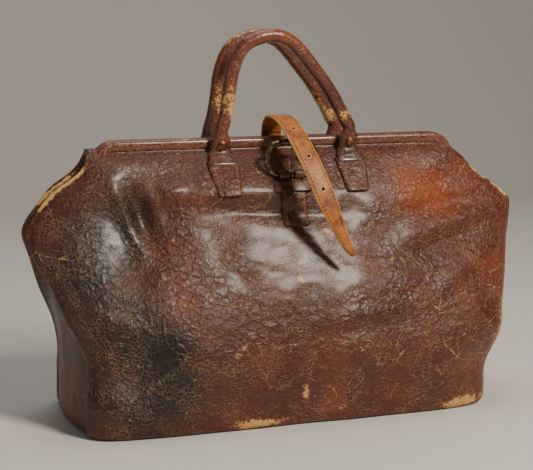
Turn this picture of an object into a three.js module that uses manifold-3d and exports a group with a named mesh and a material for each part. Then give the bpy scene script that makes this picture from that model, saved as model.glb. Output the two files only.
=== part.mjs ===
// A leather doctor bag with a two-jaw steel frame, rolled handles and a buckled strap.
// Millimetres. X runs along the bag, the front faces -Y, Z is up and the floor is z = 0.
import * as THREE from 'three';
import { mergeVertices } from 'three/addons/utils/BufferGeometryUtils.js';
import Module from 'manifold-3d';

// ---- Driving sizes ---------------------------------------------------------
const bagLength = 529; // over the ears, the widest points of the end folds
const bagDepth = 202; // front to back at the lower bulge
const bagHeight = 281; // floor to the top of the closed frame
const frameLength = 394; // over the ends of the closed frame
const frameShift = 0; // the frame and the ears are centred this far along X
const baseShift = -5.3; // the base is centred this far along X
const leatherThickness = 3;
const liningThickness = 1.2;
const clearance = 0.3; // between pieces that rest on each other
const liningGap = 1.9; // between leather and lining, room for the glue and canvas
const frameHeight = 12; // leather-covered section, seen from the front
const frameDepth = 10.5; // one jaw, front to back
const frameCorner = 25; // outer corner radius of a jaw
const barHeight = 7; // steel inside the covering
const barDepth = 4;
const handleDiameter = 14;
const handleSpan = 139; // between the legs of one handle
const handleRise = 95; // hinge line to the top of the arch's centre line
const handleShift = 2; // handle centre along X
const strapWidth = 22;
const strapThickness = 3;
const buckleBar = 4; // wire diameter
const buckleHeight = 33; // heel bar to roller bar
const buckleStraight = 26; // straight part of both bars

// ---- Levels that follow from them ------------------------------------------
const hingeHeight = 0.73 * bagHeight;
const panelTop = bagHeight - frameHeight - clearance;
const foldHeight = hingeHeight - 10; // where the panels fold as the jaws open
const halfLength = bagLength / 2;
const halfDepth = bagDepth / 2;
const wallStart = leatherThickness + clearance;
const jawInset = clearance; // each jaw's inner face stands this far off y = 0

// ---- Small tools -----------------------------------------------------------
const wasm = await Module();
wasm.setup();

function toSolid(geometry) {
  const plain = geometry.clone();
  plain.deleteAttribute('normal');
  plain.deleteAttribute('uv');
  const merged = mergeVertices(plain, 1e-4);
  const mesh = new wasm.Mesh({
    numProp: 3,
    vertProperties: new Float32Array(merged.attributes.position.array),
    triVerts: new Uint32Array(merged.index.array),
  });
  return new wasm.Manifold(mesh);
}

function toGeometry(solid) {
  const mesh = solid.getMesh();
  const geometry = new THREE.BufferGeometry();
  geometry.setAttribute('position', new THREE.BufferAttribute(mesh.vertProperties, 3));
  geometry.setIndex(new THREE.BufferAttribute(mesh.triVerts, 1));
  geometry.computeVertexNormals();
  return geometry;
}

// A closed geometry from points and triangles, turned so that it faces out.
function closedGeometry(points, triangles) {
  let volume = 0;
  for (const [a, b, c] of triangles) {
    volume += points[a].dot(new THREE.Vector3().crossVectors(points[b], points[c]));
  }
  const order = volume < 0 ? [0, 2, 1] : [0, 1, 2];
  const geometry = new THREE.BufferGeometry();
  const flat = points.flatMap((p) => [p.x, p.y, p.z]);
  geometry.setAttribute('position', new THREE.Float32BufferAttribute(flat, 3));
  geometry.setIndex(triangles.flatMap((t) => order.map((k) => t[k])));
  geometry.computeVertexNormals();
  return geometry;
}

// A sheet with thickness: outer(u, v) and inner(u, v) give its two faces, u and v in 0..1.
function sheet(columns, rows, outer, inner) {
  const points = [];
  for (const face of [outer, inner]) {
    for (let j = 0; j <= rows; j += 1) {
      for (let i = 0; i <= columns; i += 1) points.push(face(i / columns, j / rows));
    }
  }
  const layer = (columns + 1) * (rows + 1);
  const at = (i, j, side) => side * layer + j * (columns + 1) + i;
  const triangles = [];
  const quad = (a, b, c, d) => triangles.push([a, b, c], [a, c, d]);
  for (let j = 0; j < rows; j += 1) {
    for (let i = 0; i < columns; i += 1) {
      quad(at(i, j, 0), at(i + 1, j, 0), at(i + 1, j + 1, 0), at(i, j + 1, 0));
      quad(at(i, j, 1), at(i, j + 1, 1), at(i + 1, j + 1, 1), at(i + 1, j, 1));
    }
  }
  for (let i = 0; i < columns; i += 1) {
    quad(at(i, 0, 0), at(i, 0, 1), at(i + 1, 0, 1), at(i + 1, 0, 0));
    quad(at(i, rows, 0), at(i + 1, rows, 0), at(i + 1, rows, 1), at(i, rows, 1));
  }
  for (let j = 0; j < rows; j += 1) {
    quad(at(0, j, 0), at(0, j + 1, 0), at(0, j + 1, 1), at(0, j, 1));
    quad(at(columns, j, 0), at(columns, j, 1), at(columns, j + 1, 1), at(columns, j + 1, 0));
  }
  return closedGeometry(points, triangles);
}

// A closed loft through rings with equal point counts; each end is closed by a fan.
function loft(rings) {
  const count = rings[0].length;
  const points = rings.flat();
  const triangles = [];
  for (let r = 0; r + 1 < rings.length; r += 1) {
    for (let k = 0; k < count; k += 1) {
      const a = r * count + k;
      const b = r * count + ((k + 1) % count);
      triangles.push([a, b, b + count], [a, b + count, a + count]);
    }
  }
  for (const [ring, start] of [[0, 0], [rings.length - 1, (rings.length - 1) * count]]) {
    const middle = new THREE.Vector3();
    rings[ring].forEach((p) => middle.addScaledVector(p, 1 / count));
    const centre = points.push(middle) - 1;
    for (let k = 0; k < count; k += 1) {
      const next = start + ((k + 1) % count);
      triangles.push(ring === 0 ? [centre, next, start + k] : [centre, start + k, next]);
    }
  }
  return closedGeometry(points, triangles);
}

// A value that runs smoothly through [share, value] stations.
function throughStations(stations, share) {
  const last = stations.length - 1;
  let k = 0;
  while (k < last - 1 && share > stations[k + 1][0]) k += 1;
  const slope = (i) => {
    const a = stations[Math.max(i - 1, 0)];
    const b = stations[Math.min(i + 1, last)];
    return (b[1] - a[1]) / (b[0] - a[0]);
  };
  const [x0, y0] = stations[k];
  const [x1, y1] = stations[k + 1];
  const step = x1 - x0;
  const t = THREE.MathUtils.clamp((share - x0) / step, 0, 1);
  const rise = y1 - y0;
  return y0 + t * step * slope(k) * (1 - t) ** 2
    + t * t * (3 - 2 * t) * rise
    - t * t * (1 - t) * step * slope(k + 1);
}

const box = (x0, x1, y0, y1, z0, z1) => wasm.Manifold
  .cube([x1 - x0, y1 - y0, z1 - z0]).translate([x0, y0, z0]);

// A cylinder along X between x0 and x1.
const rod = (x0, x1, y, z, radius, sides = 16) => wasm.Manifold
  .cylinder(x1 - x0, radius, radius, sides).rotate([0, 90, 0]).translate([x0, y, z]);

const mirrorY = (solid) => solid.mirror([0, 1, 0]);

// ---- Shape of the leather body -----------------------------------------------
// Edge of the front and rear panels, as [share of bag height, share of half length].
const leftEdge = [[0, 0.81], [0.21, 0.812], [0.324, 0.84], [0.406, 0.88], [0.517, 0.926],
  [0.608, 0.968], [0.7, 0.993], [0.819, 0.903], [0.895, 0.792], [0.96, 0.763]];
const rightEdge = [[0, 0.794], [0.1, 0.792], [0.156, 0.81], [0.204, 0.832], [0.36, 0.89],
  [0.57, 0.957], [0.725, 1], [0.776, 0.955], [0.833, 0.87], [0.89, 0.8], [0.93, 0.745],
  [0.96, 0.722]];
// Distance of the panel's middle and of its side edge from y = 0, as shares of half depth.
const middleDepth = [[0, 0.96], [0.08, 0.99], [0.25, 1], [0.4, 0.9], [0.56, 0.72],
  [0.73, 0.5], [0.82, 0.41], [0.9, 0.265], [0.96, 0.112]];
const edgeDepth = [[0, 0.7], [0.25, 0.68], [0.45, 0.42], [0.6, 0.22], [0.72, 0.1], [0.96, 0.1]];
// How square the panel is in plan, and how far the end folds tuck in.
const squareness = [[0, 8], [0.25, 6], [0.5, 3], [0.73, 2.2], [0.9, 3.5], [0.96, 6]];
const endTuck = [[0, -0.03], [0.25, -0.03], [0.5, 0.04], [0.73, 0.14]];

const shiftAt = (z) => THREE.MathUtils.lerp(baseShift, frameShift, Math.min(1, z / hingeHeight));
const leftAt = (z) => shiftAt(z) - halfLength * throughStations(leftEdge, z / bagHeight);
const rightAt = (z) => shiftAt(z) + halfLength * throughStations(rightEdge, z / bagHeight);
const edgeAt = (z) => halfDepth * throughStations(edgeDepth, z / bagHeight);

// Distance of the panel's outer face from y = 0.
function panelDepth(x, z) {
  const height = Math.min(z, panelTop);
  const middle = (leftAt(height) + rightAt(height)) / 2;
  const along = Math.min(1, Math.abs(x - middle) / ((rightAt(height) - leftAt(height)) / 2));
  const round = 1 - along ** throughStations(squareness, height / bagHeight);
  const deep = halfDepth * throughStations(middleDepth, height / bagHeight);
  return edgeAt(height) + (deep - edgeAt(height)) * Math.sqrt(Math.max(0, round));
}

const jawFront = jawInset + frameDepth; // distance of a jaw's outer face from y = 0
const outerFace = (x, z) => Math.max(jawFront, panelDepth(x, z));

// A sheet that follows the front panel: inward is its depth below the outer face.
function panelSheet(columns, rows, z0, z1, near, far, reach = 1) {
  const point = (u, v, inward) => {
    const z = THREE.MathUtils.lerp(z0, z1, v);
    const middle = (leftAt(z) + rightAt(z)) / 2;
    const half = ((rightAt(z) - leftAt(z)) / 2) * reach;
    const x = middle + half * Math.sin((u - 0.5) * Math.PI);
    return new THREE.Vector3(x, -Math.max(clearance * 2, panelDepth(x, z) - inward(z)), z);
  };
  return sheet(columns, rows, (u, v) => point(u, v, near), (u, v) => point(u, v, far));
}

// A patch of leather lying on the front panel, off the face by lift, thick by thick(z).
function patch(columns, rows, middle, halfWidth, z0, z1, lift, thick) {
  const point = (u, v, stand) => {
    const z = THREE.MathUtils.lerp(z0, z1, v);
    const x = middle + halfWidth(z) * (2 * u - 1);
    return new THREE.Vector3(x, -(outerFace(x, z) + stand(z)), z);
  };
  return sheet(
    columns,
    rows,
    (u, v) => point(u, v, (z) => lift(z) + thick(z)),
    (u, v) => point(u, v, lift),
  );
}

// ---- Jaw of the frame --------------------------------------------------------
const frameLeft = frameShift - frameLength / 2;
const frameRight = frameShift + frameLength / 2;
const jawMiddle = -(jawInset + frameDepth / 2);

// The jaw's centre line: up one leg, across the top and down the other leg.
function jawPath(legBottom, arcSteps = 4) {
  const inset = frameHeight / 2;
  const radius = frameCorner - inset;
  const top = bagHeight - inset;
  const path = [new THREE.Vector2(frameLeft + inset, legBottom)];
  for (let k = 0; k <= arcSteps; k += 1) {
    const a = Math.PI - (k / arcSteps) * (Math.PI / 2);
    path.push(new THREE.Vector2(
      frameLeft + frameCorner + radius * Math.cos(a),
      top - radius + radius * Math.sin(a),
    ));
  }
  for (let k = 0; k <= arcSteps; k += 1) {
    const a = Math.PI / 2 - (k / arcSteps) * (Math.PI / 2);
    path.push(new THREE.Vector2(
      frameRight - frameCorner + radius * Math.cos(a),
      top - radius + radius * Math.sin(a),
    ));
  }
  path.push(new THREE.Vector2(frameRight - inset, legBottom));
  return path;
}

// Sweeps a section (outward, y) along a path in the XZ plane.
function sweepJaw(path, section) {
  const rings = path.map((p, k) => {
    const before = path[Math.max(k - 1, 0)];
    const after = path[Math.min(k + 1, path.length - 1)];
    const along = after.clone().sub(before).normalize();
    return section.map(([out, y]) => new THREE.Vector3(
      p.x - along.y * out,
      jawMiddle + y,
      p.y + along.x * out,
    ));
  });
  return toSolid(loft(rings));
}

// A rounded section: a superellipse with the given half sizes.
function roundedSection(halfOut, halfDeep, sides = 10, power = 0.75) {
  return Array.from({ length: sides }, (_, k) => {
    const a = ((k + 0.5) / sides) * 2 * Math.PI;
    const bend = (value) => Math.sign(value) * Math.abs(value) ** power;
    return [halfOut * bend(Math.cos(a)), halfDeep * bend(Math.sin(a))];
  });
}

function boxSection(halfOut, halfDeep) {
  return [[halfOut, halfDeep], [-halfOut, halfDeep], [-halfOut, -halfDeep], [halfOut, -halfDeep]];
}

const eyeRadius = 7.5;
const eyeThickness = 3;
const pinRadius = 2;
const legCentre = [frameLeft + frameHeight / 2, frameRight - frameHeight / 2];

// The steel of the front jaw. Its hinge eye fills the half of the leg that eyeSide names.
function jawBar(eyeSide) {
  const legEnd = hingeHeight + eyeRadius + 1.5;
  const half = barHeight / 2;
  let bar = sweepJaw(jawPath(legEnd), boxSection(half, barDepth / 2));
  legCentre.forEach((x) => {
    const x0 = eyeSide < 0 ? x - half : x + half - eyeThickness;
    const x1 = x0 + eyeThickness;
    const tongue = box(x0, x1, jawMiddle - barDepth / 2, jawMiddle + barDepth / 2,
      hingeHeight, legEnd + 2);
    const eye = rod(x0, x1, 0, hingeHeight, eyeRadius);
    const hole = rod(x0 - 1, x1 + 1, 0, hingeHeight, pinRadius + clearance);
    bar = bar.add(tongue).add(eye).subtract(hole);
  });
  return bar;
}

const coverBottom = bagHeight - frameCorner + 1;
const coverSection = roundedSection(frameHeight / 2, frameDepth / 2);
const coverBody = sweepJaw(jawPath(coverBottom), coverSection);
const barRoom = sweepJaw(
  jawPath(hingeHeight + eyeRadius + 1.5),
  boxSection(barHeight / 2 + clearance, barDepth / 2 + clearance),
);
const coverRoom = sweepJaw(
  jawPath(coverBottom - clearance),
  roundedSection(frameHeight / 2 + clearance, frameDepth / 2 + clearance),
);
const jawCover = coverBody.subtract(barRoom);

// ---- Panels, linings and end folds ---------------------------------------------
const foldGap = 0.6;
const wingGap = 0.5;
// Leather above the fold, between the legs, swings with the jaw inside the lower leather.
const swingLeft = frameLeft - 4;
const swingRight = frameRight + 4;
const swingWindow = box(swingLeft - wingGap, swingRight + wingGap, -bagDepth, bagDepth,
  foldHeight, bagHeight * 2);
const swingPart = box(swingLeft, swingRight, -bagDepth, bagDepth,
  foldHeight + foldGap, bagHeight * 2);
// The upper leather starts inside the lower leather and comes flush further up.
const tuckIn = (z) => {
  const share = THREE.MathUtils.clamp((z - foldHeight) / (panelTop - foldHeight) / 0.6, 0, 1);
  return (leatherThickness + 2 * clearance) * (1 - share) ** 2;
};

const panelLower = toSolid(panelSheet(16, 12, wallStart, panelTop, () => 0, () => leatherThickness))
  .subtract(swingWindow)
  .subtract(coverRoom);
const panelUpper = toSolid(panelSheet(
  14,
  6,
  foldHeight,
  panelTop,
  tuckIn,
  (z) => tuckIn(z) + leatherThickness,
)).intersect(swingPart).subtract(coverRoom).subtract(barRoom);

const boardThickness = 3;
const boardTop = wallStart + boardThickness;
const baseLiningTop = boardTop + clearance + liningThickness;
const liningNear = leatherThickness + liningGap;
const liningFar = liningNear + liningThickness;
const liningLower = toSolid(panelSheet(
  10,
  7,
  baseLiningTop + clearance,
  foldHeight - 8,
  () => liningNear,
  () => liningFar,
  0.9,
));
const liningUpper = toSolid(panelSheet(
  10,
  4,
  foldHeight + foldGap + 1,
  panelTop - 12,
  (z) => tuckIn(z) + liningNear,
  (z) => tuckIn(z) + liningFar,
  0.8,
)).intersect(box(frameLeft + 12, frameRight - 12, -bagDepth, 0, 0, bagHeight));

const seamRoom = 0.7 * leatherThickness + 0.0045 * bagLength; // end fold to panel edge
// One end's fold of leather, from the front edge to the rear edge; side is -1 or 1.
function endFold(side, columns, rows, z0, z1, inset, thickness) {
  const edge = side < 0 ? leftAt : rightAt;
  const surface = (u, z) => {
    const t = 2 * u - 1;
    const tuck = halfLength * throughStations(endTuck, z / bagHeight);
    const x = edge(z) - side * tuck * (1 - Math.abs(t) ** 1.6);
    return new THREE.Vector3(x, t * edgeAt(z) * 0.9, z);
  };
  const point = (u, v, depth) => {
    const z = THREE.MathUtils.lerp(z0, z1, v);
    const here = surface(u, z);
    const step = surface(u + 0.01, z).sub(surface(u - 0.01, z));
    const inwardWay = new THREE.Vector2(-side * Math.abs(step.y), side * step.x
      * Math.sign(step.y)).normalize();
    return new THREE.Vector3(
      here.x + inwardWay.x * depth - side * seamRoom,
      here.y + inwardWay.y * depth,
      z,
    );
  };
  return sheet(
    columns,
    rows,
    (u, v) => point(u, v, inset),
    (u, v) => point(u, v, inset + thickness),
  );
}

// ---- Base --------------------------------------------------------------------
// A flat plate in the outline that the walls have at height z, drawn in by inset.
function basePlate(z0, z1, inset) {
  const z = wallStart;
  const middle = (leftAt(z) + rightAt(z)) / 2;
  const half = (rightAt(z) - leftAt(z)) / 2;
  const outline = new THREE.Shape();
  const steps = 12;
  const front = [];
  for (let k = 0; k <= steps; k += 1) {
    const x = middle + half * Math.sin((k / steps - 0.5) * Math.PI);
    front.push(new THREE.Vector2(x, -panelDepth(x, z)));
  }
  const bulge = halfLength * -throughStations(endTuck, 0);
  const points = [
    ...front,
    new THREE.Vector2(middle + half + bulge, 0),
    ...front.map((p) => new THREE.Vector2(p.x, -p.y)).reverse(),
    new THREE.Vector2(middle - half - bulge, 0),
  ];
  const shrink = (p) => new THREE.Vector2(
    middle + (p.x - middle) * (1 - inset / (half + bulge)),
    p.y * (1 - inset / halfDepth),
  );
  points.forEach((p, k) => {
    const q = shrink(p);
    if (k === 0) outline.moveTo(q.x, q.y);
    else outline.lineTo(q.x, q.y);
  });
  outline.closePath();
  const plate = new THREE.ExtrudeGeometry(outline, { depth: z1 - z0, bevelEnabled: false });
  plate.translate(0, 0, z0);
  return plate;
}

// ---- Handle ends, tabs and handles -------------------------------------------
const handleRadius = handleDiameter / 2;
const tabThickness = 2.5;
const tabBottom = 0.807 * bagHeight;
const tabTop = 0.918 * bagHeight;
const neckBottom = 0.905 * bagHeight;
const neckTop = bagHeight;
const handlePivot = {
  y: -(jawFront + clearance + handleRadius + 1.2),
  z: neckTop + handleRadius + clearance,
};
const legX = [handleShift - handleSpan / 2, handleShift + handleSpan / 2];

const tabHalf = (z) => THREE.MathUtils.lerp(12, 16.5, (z - tabBottom) / (tabTop - tabBottom));
const handleTab = (x) => toSolid(patch(5, 5, x, tabHalf, tabBottom, tabTop,
  () => 2 * clearance, () => tabThickness));

const neckHalf = (z) => {
  const share = (z - neckBottom) / (neckTop - neckBottom);
  return handleRadius * THREE.MathUtils.lerp(2.05, 1.3, Math.min(1, share * 1.3));
};
const neckLift = (z) => 2 * clearance + (z < tabTop + 4 ? tabThickness + clearance : 0);
const neckThick = (z) => {
  const share = THREE.MathUtils.clamp((z - neckBottom) / (neckTop - neckBottom), 0, 1);
  return handleRadius * THREE.MathUtils.lerp(0.65, 1.75, Math.sqrt(share))
    - (neckLift(z) - 2 * clearance);
};
const handleNeck = (x) => toSolid(patch(5, 10, x, neckHalf, neckBottom, neckTop,
  neckLift, neckThick));

const rivetRadius = 5;
const rivetHeight = bagHeight - frameHeight / 2;
function rivet(x) {
  const face = -(outerFace(x, rivetHeight) + neckLift(rivetHeight) + neckThick(rivetHeight)
    + 0.9);
  const profile = [new THREE.Vector2(0, 0), new THREE.Vector2(rivetRadius, 0)];
  for (let k = 1; k <= 4; k += 1) {
    const a = (k / 4) * (Math.PI / 2);
    profile.push(new THREE.Vector2(
      k === 4 ? 0 : rivetRadius * Math.cos(a),
      0.6 + 1.6 * Math.sin(a),
    ));
  }
  const dome = new THREE.LatheGeometry(profile, 20);
  dome.scale(1, -1, 1);
  dome.translate(x, face, rivetHeight);
  return toSolid(orient(dome));
}

// Turns a geometry that may have been mirrored so that it faces out.
function orient(geometry) {
  const merged = mergeVertices(geometry.deleteAttribute('uv').deleteAttribute('normal'), 1e-4);
  const p = merged.attributes.position;
  const points = Array.from({ length: p.count }, (_, k) => new THREE.Vector3().fromBufferAttribute(p, k));
  const index = merged.index.array;
  const triangles = [];
  for (let k = 0; k < index.length; k += 3) {
    const t = [index[k], index[k + 1], index[k + 2]];
    if (new Set(t).size === 3) triangles.push(t);
  }
  return closedGeometry(points, triangles);
}

// The handle's centre line, as [share of span, share of rise]; it leans to the left.
const handleShape = [[-0.5, 0], [-0.457, 0.23], [-0.409, 0.652], [-0.314, 0.9], [-0.126, 1],
  [0.036, 0.94], [0.226, 0.638], [0.349, 0.398], [0.5, 0.02]];

function handleTube(radius, rounded) {
  const curve = new THREE.CatmullRomCurve3(
    handleShape.map(([across, up]) => new THREE.Vector3(
      handleShift + across * handleSpan,
      handlePivot.y,
      handlePivot.z + up * handleRise,
    )),
    false,
    'centripetal',
  );
  const sides = 10;
  const steps = 16;
  const ring = (centre, tangent, size) => {
    const outward = new THREE.Vector3(-tangent.z, 0, tangent.x);
    return Array.from({ length: sides }, (_, k) => {
      const a = (k / sides) * 2 * Math.PI;
      return centre.clone()
        .addScaledVector(outward, size * Math.cos(a))
        .add(new THREE.Vector3(0, size * Math.sin(a), 0));
    });
  };
  const rings = [];
  const capAngles = rounded ? [80, 50, 25] : [];
  const cap = (share, direction, angles) => {
    const centre = curve.getPointAt(share);
    const tangent = curve.getTangentAt(share);
    angles.forEach((degrees) => {
      const a = THREE.MathUtils.degToRad(degrees);
      const away = centre.clone().addScaledVector(tangent, direction * radius * Math.sin(a));
      rings.push(ring(away, tangent, radius * Math.cos(a)));
    });
  };
  cap(0, -1, capAngles);
  for (let k = 0; k <= steps; k += 1) {
    rings.push(ring(curve.getPointAt(k / steps), curve.getTangentAt(k / steps), radius));
  }
  cap(1, 1, [...capAngles].reverse());
  return toSolid(loft(rings));
}

const ropeRadius = handleRadius - leatherThickness;
const handleRope = handleTube(ropeRadius, false);
const handleCover = handleTube(handleRadius, true)
  .subtract(handleTube(ropeRadius + clearance, true))
  .subtract(box(-halfLength, halfLength, -bagDepth, 0, 0, handlePivot.z - handleRadius * 0.45));

// ---- Buckle, its leather and the strap ------------------------------------------
const chapeBottom = foldHeight + foldGap + clearance;
const buckleZ = 0.8715 * bagHeight;
const loopRadius = buckleBar / 2 + 0.4;
const loopLeather = 2.5;
const chapeHalf = 13.8;
const upperFace = (x, z) => panelDepth(x, z) - tuckIn(z);
const buckleY = -(upperFace(frameShift, buckleZ) + clearance + 1.4 * (loopRadius + loopLeather));
const prongWidth = 4;
const prongRing = buckleBar / 2 + clearance + 1.5; // radius of the prong's eye

function buckleChape() {
  const flap = patch(6, 8, frameShift, () => chapeHalf, chapeBottom, buckleZ,
    (z) => clearance - tuckIn(z), () => loopLeather);
  const loop = rod(frameShift - chapeHalf, frameShift + chapeHalf, buckleY, buckleZ,
    loopRadius + loopLeather);
  const hole = rod(frameShift - chapeHalf - 1, frameShift + chapeHalf + 1, buckleY, buckleZ,
    loopRadius);
  const slot = box(frameShift - prongWidth / 2 - 0.8, frameShift + prongWidth / 2 + 0.8,
    buckleY - 12, buckleY + prongRing + 0.4, buckleZ - 6, buckleZ + 12);
  return toSolid(flap).add(loop).subtract(hole).subtract(slot);
}

// A loop of leather standing off the chape, with room for the strap's end.
function keeper() {
  const halfOuter = 21;
  const wall = 2;
  const stand = 9;
  const z0 = 0.815 * bagHeight;
  const z1 = 0.851 * bagHeight;
  const outer = [[-halfOuter, 0.4], [-halfOuter, stand], [halfOuter, stand], [halfOuter, 0.4]];
  const inner = [[-halfOuter + wall, 0.4], [-halfOuter + wall, stand - wall],
    [halfOuter - wall, stand - wall], [halfOuter - wall, 0.4]];
  const line = (corners) => (u, v) => {
    const z = THREE.MathUtils.lerp(z0, z1, v);
    const k = Math.min(2, Math.floor(u * 3));
    const t = u * 3 - k;
    const x = frameShift + THREE.MathUtils.lerp(corners[k][0], corners[k + 1][0], t);
    const out = THREE.MathUtils.lerp(corners[k][1], corners[k + 1][1], t);
    return new THREE.Vector3(x, -(upperFace(frameShift, z) + out), z);
  };
  return toSolid(sheet(3, 2, line(outer), line(inner)));
}

function buckleFrame() {
  const half = buckleStraight / 2;
  const bow = 17;
  const at = (x, z) => new THREE.Vector3(frameShift + x, buckleY, buckleZ + z);
  const path = new THREE.CurvePath();
  path.add(new THREE.LineCurve3(at(-half, 0), at(half, 0)));
  path.add(new THREE.CubicBezierCurve3(at(half, 0), at(half + bow, 0),
    at(half + bow, buckleHeight), at(half, buckleHeight)));
  path.add(new THREE.LineCurve3(at(half, buckleHeight), at(-half, buckleHeight)));
  path.add(new THREE.CubicBezierCurve3(at(-half, buckleHeight), at(-half - bow, buckleHeight),
    at(-half - bow, 0), at(-half, 0)));
  const steps = 36;
  const sides = 8;
  const points = [];
  const triangles = [];
  for (let k = 0; k < steps; k += 1) {
    const centre = path.getPointAt(k / steps);
    const tangent = path.getTangentAt(k / steps);
    const outward = new THREE.Vector3(tangent.z, 0, -tangent.x);
    for (let s = 0; s < sides; s += 1) {
      const a = (s / sides) * 2 * Math.PI;
      points.push(centre.clone()
        .addScaledVector(outward, (buckleBar / 2) * Math.cos(a))
        .add(new THREE.Vector3(0, (buckleBar / 2) * Math.sin(a), 0)));
      const next = (s + 1) % sides;
      const after = ((k + 1) % steps) * sides;
      triangles.push([k * sides + s, k * sides + next, after + next]);
      triangles.push([k * sides + s, after + next, after + s]);
    }
  }
  return toSolid(closedGeometry(points, triangles));
}

const rollerRadius = 3.4;
const buckleRoller = rod(frameShift - 12, frameShift + 12, buckleY, buckleZ + buckleHeight, rollerRadius)
  .subtract(rod(frameShift - 13, frameShift + 13, buckleY, buckleZ + buckleHeight,
    buckleBar / 2 + clearance, 16));

function buckleProng() {
  const wire = 1.3;
  const lean = rollerRadius + wire + 0.4;
  const ring = rod(frameShift - prongWidth / 2, frameShift + prongWidth / 2,
    buckleY, buckleZ, prongRing);
  const hole = rod(frameShift - prongWidth, frameShift + prongWidth,
    buckleY, buckleZ, buckleBar / 2 + clearance);
  const length = Math.hypot(buckleHeight + 2, lean - prongRing + wire);
  const tilt = THREE.MathUtils.radToDeg(Math.atan2(lean - prongRing + wire, buckleHeight + 2));
  const pin = wasm.Manifold.cylinder(length, wire, wire, 12)
    .rotate([tilt, 0, 0])
    .translate([frameShift, buckleY - prongRing + wire, buckleZ]);
  return ring.add(pin).subtract(hole);
}

// The strap lies on an arc about the frame's hinge line, so the opening jaws clear it.
const buckleReach = Math.hypot(buckleY, buckleZ - hingeHeight) + buckleHeight + 5.5;
const strapArc = Math.max(bagHeight - hingeHeight + 18, buckleReach);
const strapPivot = { y: jawFront + 6, z: bagHeight + 2 };
const strapTurn = THREE.MathUtils.degToRad(86); // round the arc, from the top towards -Y
const strapTail = 44; // straight from there to the tip
const crown = new THREE.Vector2(0, hingeHeight + strapArc);

// A point of the strap's inner face at share v, in the YZ plane, with its outward normal.
function strapLine(v) {
  const rise = 0.14;
  const arcStart = Math.PI / 2;
  if (v < rise) {
    const t = v / rise;
    const start = new THREE.Vector2(strapPivot.y, strapPivot.z);
    const handleA = new THREE.Vector2(strapPivot.y, strapPivot.z + 9);
    const handleB = new THREE.Vector2(9, crown.y);
    const curve = new THREE.CubicBezierCurve(start, handleA, handleB, crown);
    const tangent = curve.getTangent(t);
    return { at: curve.getPoint(t), normal: new THREE.Vector2(tangent.y, -tangent.x) };
  }
  const along = ((v - rise) / (1 - rise)) * (strapTurn * strapArc + strapTail);
  const a = arcStart + Math.min(strapTurn, along / strapArc);
  const beyond = Math.max(0, along - strapTurn * strapArc);
  const out = new THREE.Vector2(Math.cos(a), Math.sin(a));
  return {
    at: new THREE.Vector2(
      out.x * strapArc - out.y * beyond,
      hingeHeight + out.y * strapArc + out.x * beyond,
    ),
    normal: out,
  };
}

// The free end drifts towards +X as it comes down.
const strapDrift = (v) => frameShift + 43 * Math.max(0, (v - 0.3) / 0.7) ** 2;
function strapHalf(v) {
  const taper = THREE.MathUtils.lerp(1, 0.5, THREE.MathUtils.clamp((v - 0.74) / 0.23, 0, 1));
  const tip = v > 0.95 ? Math.sqrt(Math.max(0.12, 1 - ((v - 0.95) / 0.05) ** 2)) : 1;
  return (strapWidth / 2) * taper * tip;
}

function strap() {
  const point = (u, v, stand) => {
    const line = strapLine(v);
    const x = strapDrift(v) + strapHalf(v) * (2 * u - 1);
    return new THREE.Vector3(
      x,
      line.at.x + line.normal.x * stand,
      line.at.y + line.normal.y * stand,
    );
  };
  let solid = toSolid(sheet(3, 26, (u, v) => point(u, v ** 0.9, strapThickness),
    (u, v) => point(u, v ** 0.9, 0)));
  for (const share of [0.35, 0.53, 0.69]) {
    const line = strapLine(share);
    const turn = THREE.MathUtils.radToDeg(Math.atan2(line.normal.y, line.normal.x));
    const hole = wasm.Manifold.cylinder(12, 2, 2, 12, true)
      .rotate([-90, 0, 0])
      .rotate([turn, 0, 0])
      .translate([strapDrift(share), line.at.x, line.at.y]);
    solid = solid.subtract(hole);
  }
  return solid;
}

// The sewn end of the strap, from the rear panel up behind the rear jaw.
function strapBase() {
  const z0 = 0.72 * bagHeight;
  const z1 = bagHeight - 2;
  const half = strapWidth / 2;
  const lift = (z) => clearance - (z > panelTop ? 0 : tuckIn(z));
  return mirrorY(toSolid(patch(3, 14, frameShift, () => half, z0, z1, lift, () => strapThickness)));
}

// ---- Colours ---------------------------------------------------------------------
const finish = (color, roughness, metalness = 0) => ({ color, roughness, metalness });
const brownLeather = finish('#5a2a1a', 0.38);
const handleLeather = finish('#6b2f18', 0.35);
const strapLeather = finish('#a8622c', 0.6);
const liningCloth = finish('#8a6a4a', 0.9);
const steel = finish('#6f675c', 0.45, 0.9);
const bronze = finish('#5c4c3a', 0.4, 0.9);
const board = finish('#7a6248', 0.95);

const bag = new THREE.Group();
function add(name, shape, look) {
  const geometry = shape instanceof THREE.BufferGeometry ? shape : toGeometry(shape);
  const mesh = new THREE.Mesh(geometry, new THREE.MeshStandardMaterial(look));
  mesh.name = name;
  bag.add(mesh);
}

add('base_panel', orient(basePlate(0, leatherThickness, 2)), brownLeather);
add('base_board', orient(basePlate(wallStart, boardTop, leatherThickness + 6)), board);
add('base_lining', orient(basePlate(boardTop + clearance, baseLiningTop, leatherThickness + 6)),
  liningCloth);
add('front_panel_lower', panelLower, brownLeather);
add('rear_panel_lower', mirrorY(panelLower), brownLeather);
add('front_panel_upper', panelUpper, brownLeather);
add('rear_panel_upper', mirrorY(panelUpper), brownLeather);
add('front_lining_lower', liningLower, liningCloth);
add('rear_lining_lower', mirrorY(liningLower), liningCloth);
add('front_lining_upper', liningUpper, liningCloth);
add('rear_lining_upper', mirrorY(liningUpper), liningCloth);
for (const [side, word] of [[-1, 'left'], [1, 'right']]) {
  add(`${word}_gusset`, endFold(side, 10, 12, wallStart, hingeHeight - 4, 0, leatherThickness),
    brownLeather);
  add(`${word}_gusset_lining`, endFold(side, 8, 7, baseLiningTop + clearance, hingeHeight - 60,
    leatherThickness + liningGap + 1, liningThickness), liningCloth);
}
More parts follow.
